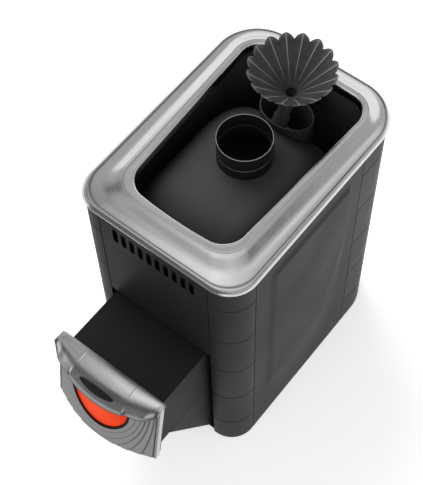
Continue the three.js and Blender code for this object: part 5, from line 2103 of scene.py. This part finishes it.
@dataclass
class Tunnel:
    """The fuel tunnel with the wedge under it, and the ash drawer that runs in it."""

    pull_half: float = 45.0
    pull_reach: float = 28.0
    pull_rod: float = 4.0
    pull_bend: float = 9.0
    bend_steps: int = 8
    rod_sides: int = 24
    sheets: tuple[Sheet, ...] = (
        ("fuel_tunnel", TUNNEL_STEEL, Body.STOVE, 0.9),
        ("tunnel_shelf", LIT_LINER_STEEL, Body.STOVE, 0.6),
        ("tunnel_wedge", PANEL_PAINT, Body.STOVE, 0.6),
        ("ash_drawer", ZINC, Body.DRAWER, 0.5),
    )

    def build(self, rod: RodAlongPath) -> None:
        """Builds and dresses the tunnel and the drawer.

        Args:
            rod: the tree that bends the drawer's pull.
        """
        for sheet in self.sheets:
            dress_sheet(*sheet)
        low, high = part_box("drawer_pull")
        z = (low.z + high.z) / 2 / MM
        back = (high.y - FRONT_Y) / MM
        front, b, half = back - self.pull_reach, self.pull_bend, self.pull_half
        left = quarter((-half + b, front + b), (b, b), 2, self.bend_steps)
        right = quarter((half - b, front + b), (b, b), 3, self.bend_steps)
        path = [(x, y, z) for x, y in [(-half, back), *left, *right, (half, back)]]
        piece = path_piece("drawer_pull_rod", np.array(path), False)
        rod.apply(piece, ZINC, Radius=self.pull_rod * MM, Sides=self.rod_sides)
        dress(smooth(piece, Crease.HIGH), ZINC, Body.DRAWER, "drawer_pull")


# Studio


def plane(name: str, halves: Point2, z: float = 0.0) -> Piece:
    """Makes a flat rectangle in metres.

    Args:
        name: the object's name.
        halves: its half sizes.
        z: its height.

    Returns:
        The new object.
    """
    a, b = halves
    mesh = bpy.data.meshes.new(name)
    mesh.from_pydata([(-a, -b, z), (a, -b, z), (a, b, z), (-a, b, z)], [], [(0, 1, 2, 3)])
    return link(name, mesh)


@dataclass(frozen=True)
class SoftLight:
    """A soft lamp that points at the heater; mirrored rays don't see it."""

    name: str
    place: Point3
    size: float
    watts: float
    aim: Point3 = (0, 0, 0.4)

    def build(self) -> None:
        """Makes the lamp."""
        lamp = bpy.data.lights.new(self.name, "AREA")
        lamp.shape = "DISK"
        lamp.size = self.size
        lamp.energy = self.watts
        holder = link(self.name, lamp)
        holder.location = self.place
        holder.visible_glossy = False
        ray = Vector(self.aim) - Vector(self.place)
        holder.rotation_euler = ray.to_track_quat("-Z", "Y").to_euler()


@dataclass(frozen=True)
class Flag:
    """A grey card round the heater that only mirrored rays see, with soft (x, y, radius, level) spots."""

    name: str
    place: Point3
    size: Point2
    grey: float
    upright: bool = False
    spots: tuple[Point4, ...] = ()

    def build(self) -> None:
        """Makes the card."""
        card = plane(self.name, (self.size[0] / 2, self.size[1] / 2))
        card.location = self.place
        card.rotation_euler.x = radians(90) if self.upright else 0
        wiring = Wiring(self.name)
        wiring.shade(Base_Color=BLACK, Roughness=1.0, Specular_IOR_Level=0.0)
        wiring.shade(Emission_Color=WHITE, Emission_Strength=self.grey)
        total: Socket | None = None
        for x, y, radius, level in self.spots:
            away = wiring.node("ShaderNodeVectorMath", {"operation": "DISTANCE"})
            wiring.feed(away.inputs[0], wiring.coords())
            wiring.feed(away.inputs[1], (x, y, 0))
            spot = wiring.spread(away.outputs["Value"], (0, radius), (level, 0))
            total = wiring.reckon(Sign.PLUS, spot, self.grey if total is None else total)
        if total:
            wiring.shade(Emission_Strength=total)
        card.data.materials.append(wiring.material)
        card.visible_camera = False
        card.visible_shadow = False
        card.visible_diffuse = False


@dataclass
class Studio:
    """The plain white studio: floor, world light, lamps and the camera of the photograph."""

    floor_size: float = 40.0
    floor_sink: float = 0.0005
    floor_colour: float = 0.8
    floor_glow: float = 0.55
    fill: float = 0.36
    image: tuple[int, int] = (423, 485)
    sensor: float = 36.0
    focal_px: float = 1209.29
    principal_px: Point2 = (233.51, 259.83)
    azimuth: float = 38.26
    elevation: float = 60.17
    roll: float = -0.57
    distance: float = 2800.92
    target: Point3 = (1.95, 256.89, 337.23)
    lamps: tuple[SoftLight, ...] = (
        SoftLight("key", (-1.7, 0.7, 2.8), 2.4, 82.0),
        SoftLight("front", (0.4, -2.8, 1.9), 2.0, 22.0),
        SoftLight("side", (2.8, 0.4, 1.7), 1.8, 11.0),
    )
    flags: tuple[Flag, ...] = (
        Flag("ceiling", (0.0, 0.0, 3.3), (10.5, 7.5), 0.43, spots=(
            (-2.5, 0.0, 0.7, -0.48), (-4.6, -1.2, 1.3, -0.4), (-0.5, -0.15, 0.6, 0.5),
            (-1.25, -0.2, 0.6, -0.35), (-0.7, 0.45, 0.8, 0.75), (-1.35, 0.6, 0.6, -0.4),
            (0.15, 0.15, 0.7, 0.45), (-0.8, -0.45, 0.8, 0.3), (-0.9, 2.5, 0.7, 0.5),
            (-1.6, 1.8, 0.5, 0.3), (-0.3, 1.5, 0.5, -0.25),
        )),
        Flag("front_card", (-0.9, -3.0, 1.5), (3.6, 3.0), 0.16, upright=True),
        Flag("dark_front", (-0.7, -2.45, 3.2), (4.0, 2.4), 0.1),
        Flag("dark_side", (1.6, 1.05, 3.2), (1.0, 0.7), 0.12),
        Flag("light_side", (0.35, 1.3, 3.15), (0.5, 1.6), 0.85),
        Flag("floor_grey", (-0.6, -1.7, 0.004), (3.6, 2.7), 0.4),
    )

    @staticmethod
    def seen(nodes: Nodes) -> Socket:
        """Tells rays that show the background: straight, mirrored or through glass.

        Args:
            nodes: the nodes of the floor or the world.

        Returns:
            1 for such rays and 0 for others.
        """
        path = nodes.node("ShaderNodeLightPath")
        total = path.outputs["Is Camera Ray"]
        for name in ("Is Glossy Ray", "Is Transmission Ray"):
            total = nodes.reckon(Sign.MOST, total, path.outputs[name])
        return total

    def world(self) -> None:
        """Lights the set evenly, with a white background."""
        world = bpy.data.worlds.new("studio")
        bpy.context.scene.world = world
        world.use_nodes = True
        nodes = Nodes(world.node_tree)
        level = nodes.node("ShaderNodeMapRange", Value=self.seen(nodes), To_Min=self.fill, To_Max=1.0)
        shade = nodes.tree.nodes["Background"]
        nodes.feed(shade.inputs["Color"], WHITE)
        nodes.feed(shade.inputs["Strength"], level.outputs[0])

    def floor(self) -> None:
        """Lays the pale floor, which keeps the heater's soft shadow."""
        half = self.floor_size / 2
        floor = plane("floor", (half, half), -self.floor_sink)
        wiring = Wiring("floor")
        grey = self.floor_colour
        wiring.shade(Base_Color=(grey, grey, grey, 1), Roughness=1.0, Specular_IOR_Level=0.0)
        glow = wiring.reckon(Sign.TIMES, self.seen(wiring), self.floor_glow)
        wiring.shade(Emission_Color=WHITE, Emission_Strength=glow)
        floor.data.materials.append(wiring.material)

    def camera(self) -> None:
        """Stands the camera where the photograph was taken from."""
        a, e, r = (radians(v) for v in (self.azimuth, self.elevation, self.roll))
        back = Vector((sin(a) * cos(e), -cos(a) * cos(e), sin(e)))
        right = Vector((cos(a), sin(a), 0))
        up = back.cross(right)
        across = right * cos(r) + up * sin(r)
        upward = up * cos(r) - right * sin(r)
        place = (Vector(self.target) + back * self.distance) * MM + Vector((0, FRONT_Y, 0))
        lens = bpy.data.cameras.new("photo_camera")
        long_side = max(self.image)
        lens.sensor_width = self.sensor
        lens.lens = self.focal_px * self.sensor / long_side
        lens.shift_x = (self.image[0] / 2 - self.principal_px[0]) / long_side
        lens.shift_y = (self.principal_px[1] - self.image[1] / 2) / long_side
        camera = link("photo_camera", lens)
        axes = Matrix((across, upward, back)).transposed().to_4x4()
        camera.matrix_world = Matrix.Translation(place) @ axes
        bpy.context.scene.camera = camera

    def build(self) -> None:
        """Sets up the studio."""
        bpy.context.scene.view_settings.view_transform = "Standard"
        self.camera()
        self.world()
        self.floor()
        for item in (*self.lamps, *self.flags):
            item.build()


def main() -> None:
    """Builds the studio and every dressed piece, and notes each piece's face count."""
    logging.basicConfig(level=logging.INFO, format="%(name)s %(message)s")
    Studio().build()
    lattice, rod, rope = LatticeOfCopies(), RodAlongPath(), RopeAlongPath()
    casing = Casing()
    firebox = Firebox(casing)
    casing.build(lattice)
    TopRim(casing).build()
    firebox.build()
    FlueCollar().build()
    SteamFeed(firebox).build()
    Door().build(rope)
    Tunnel().build(rod)


if __name__ == "__main__":
    main()
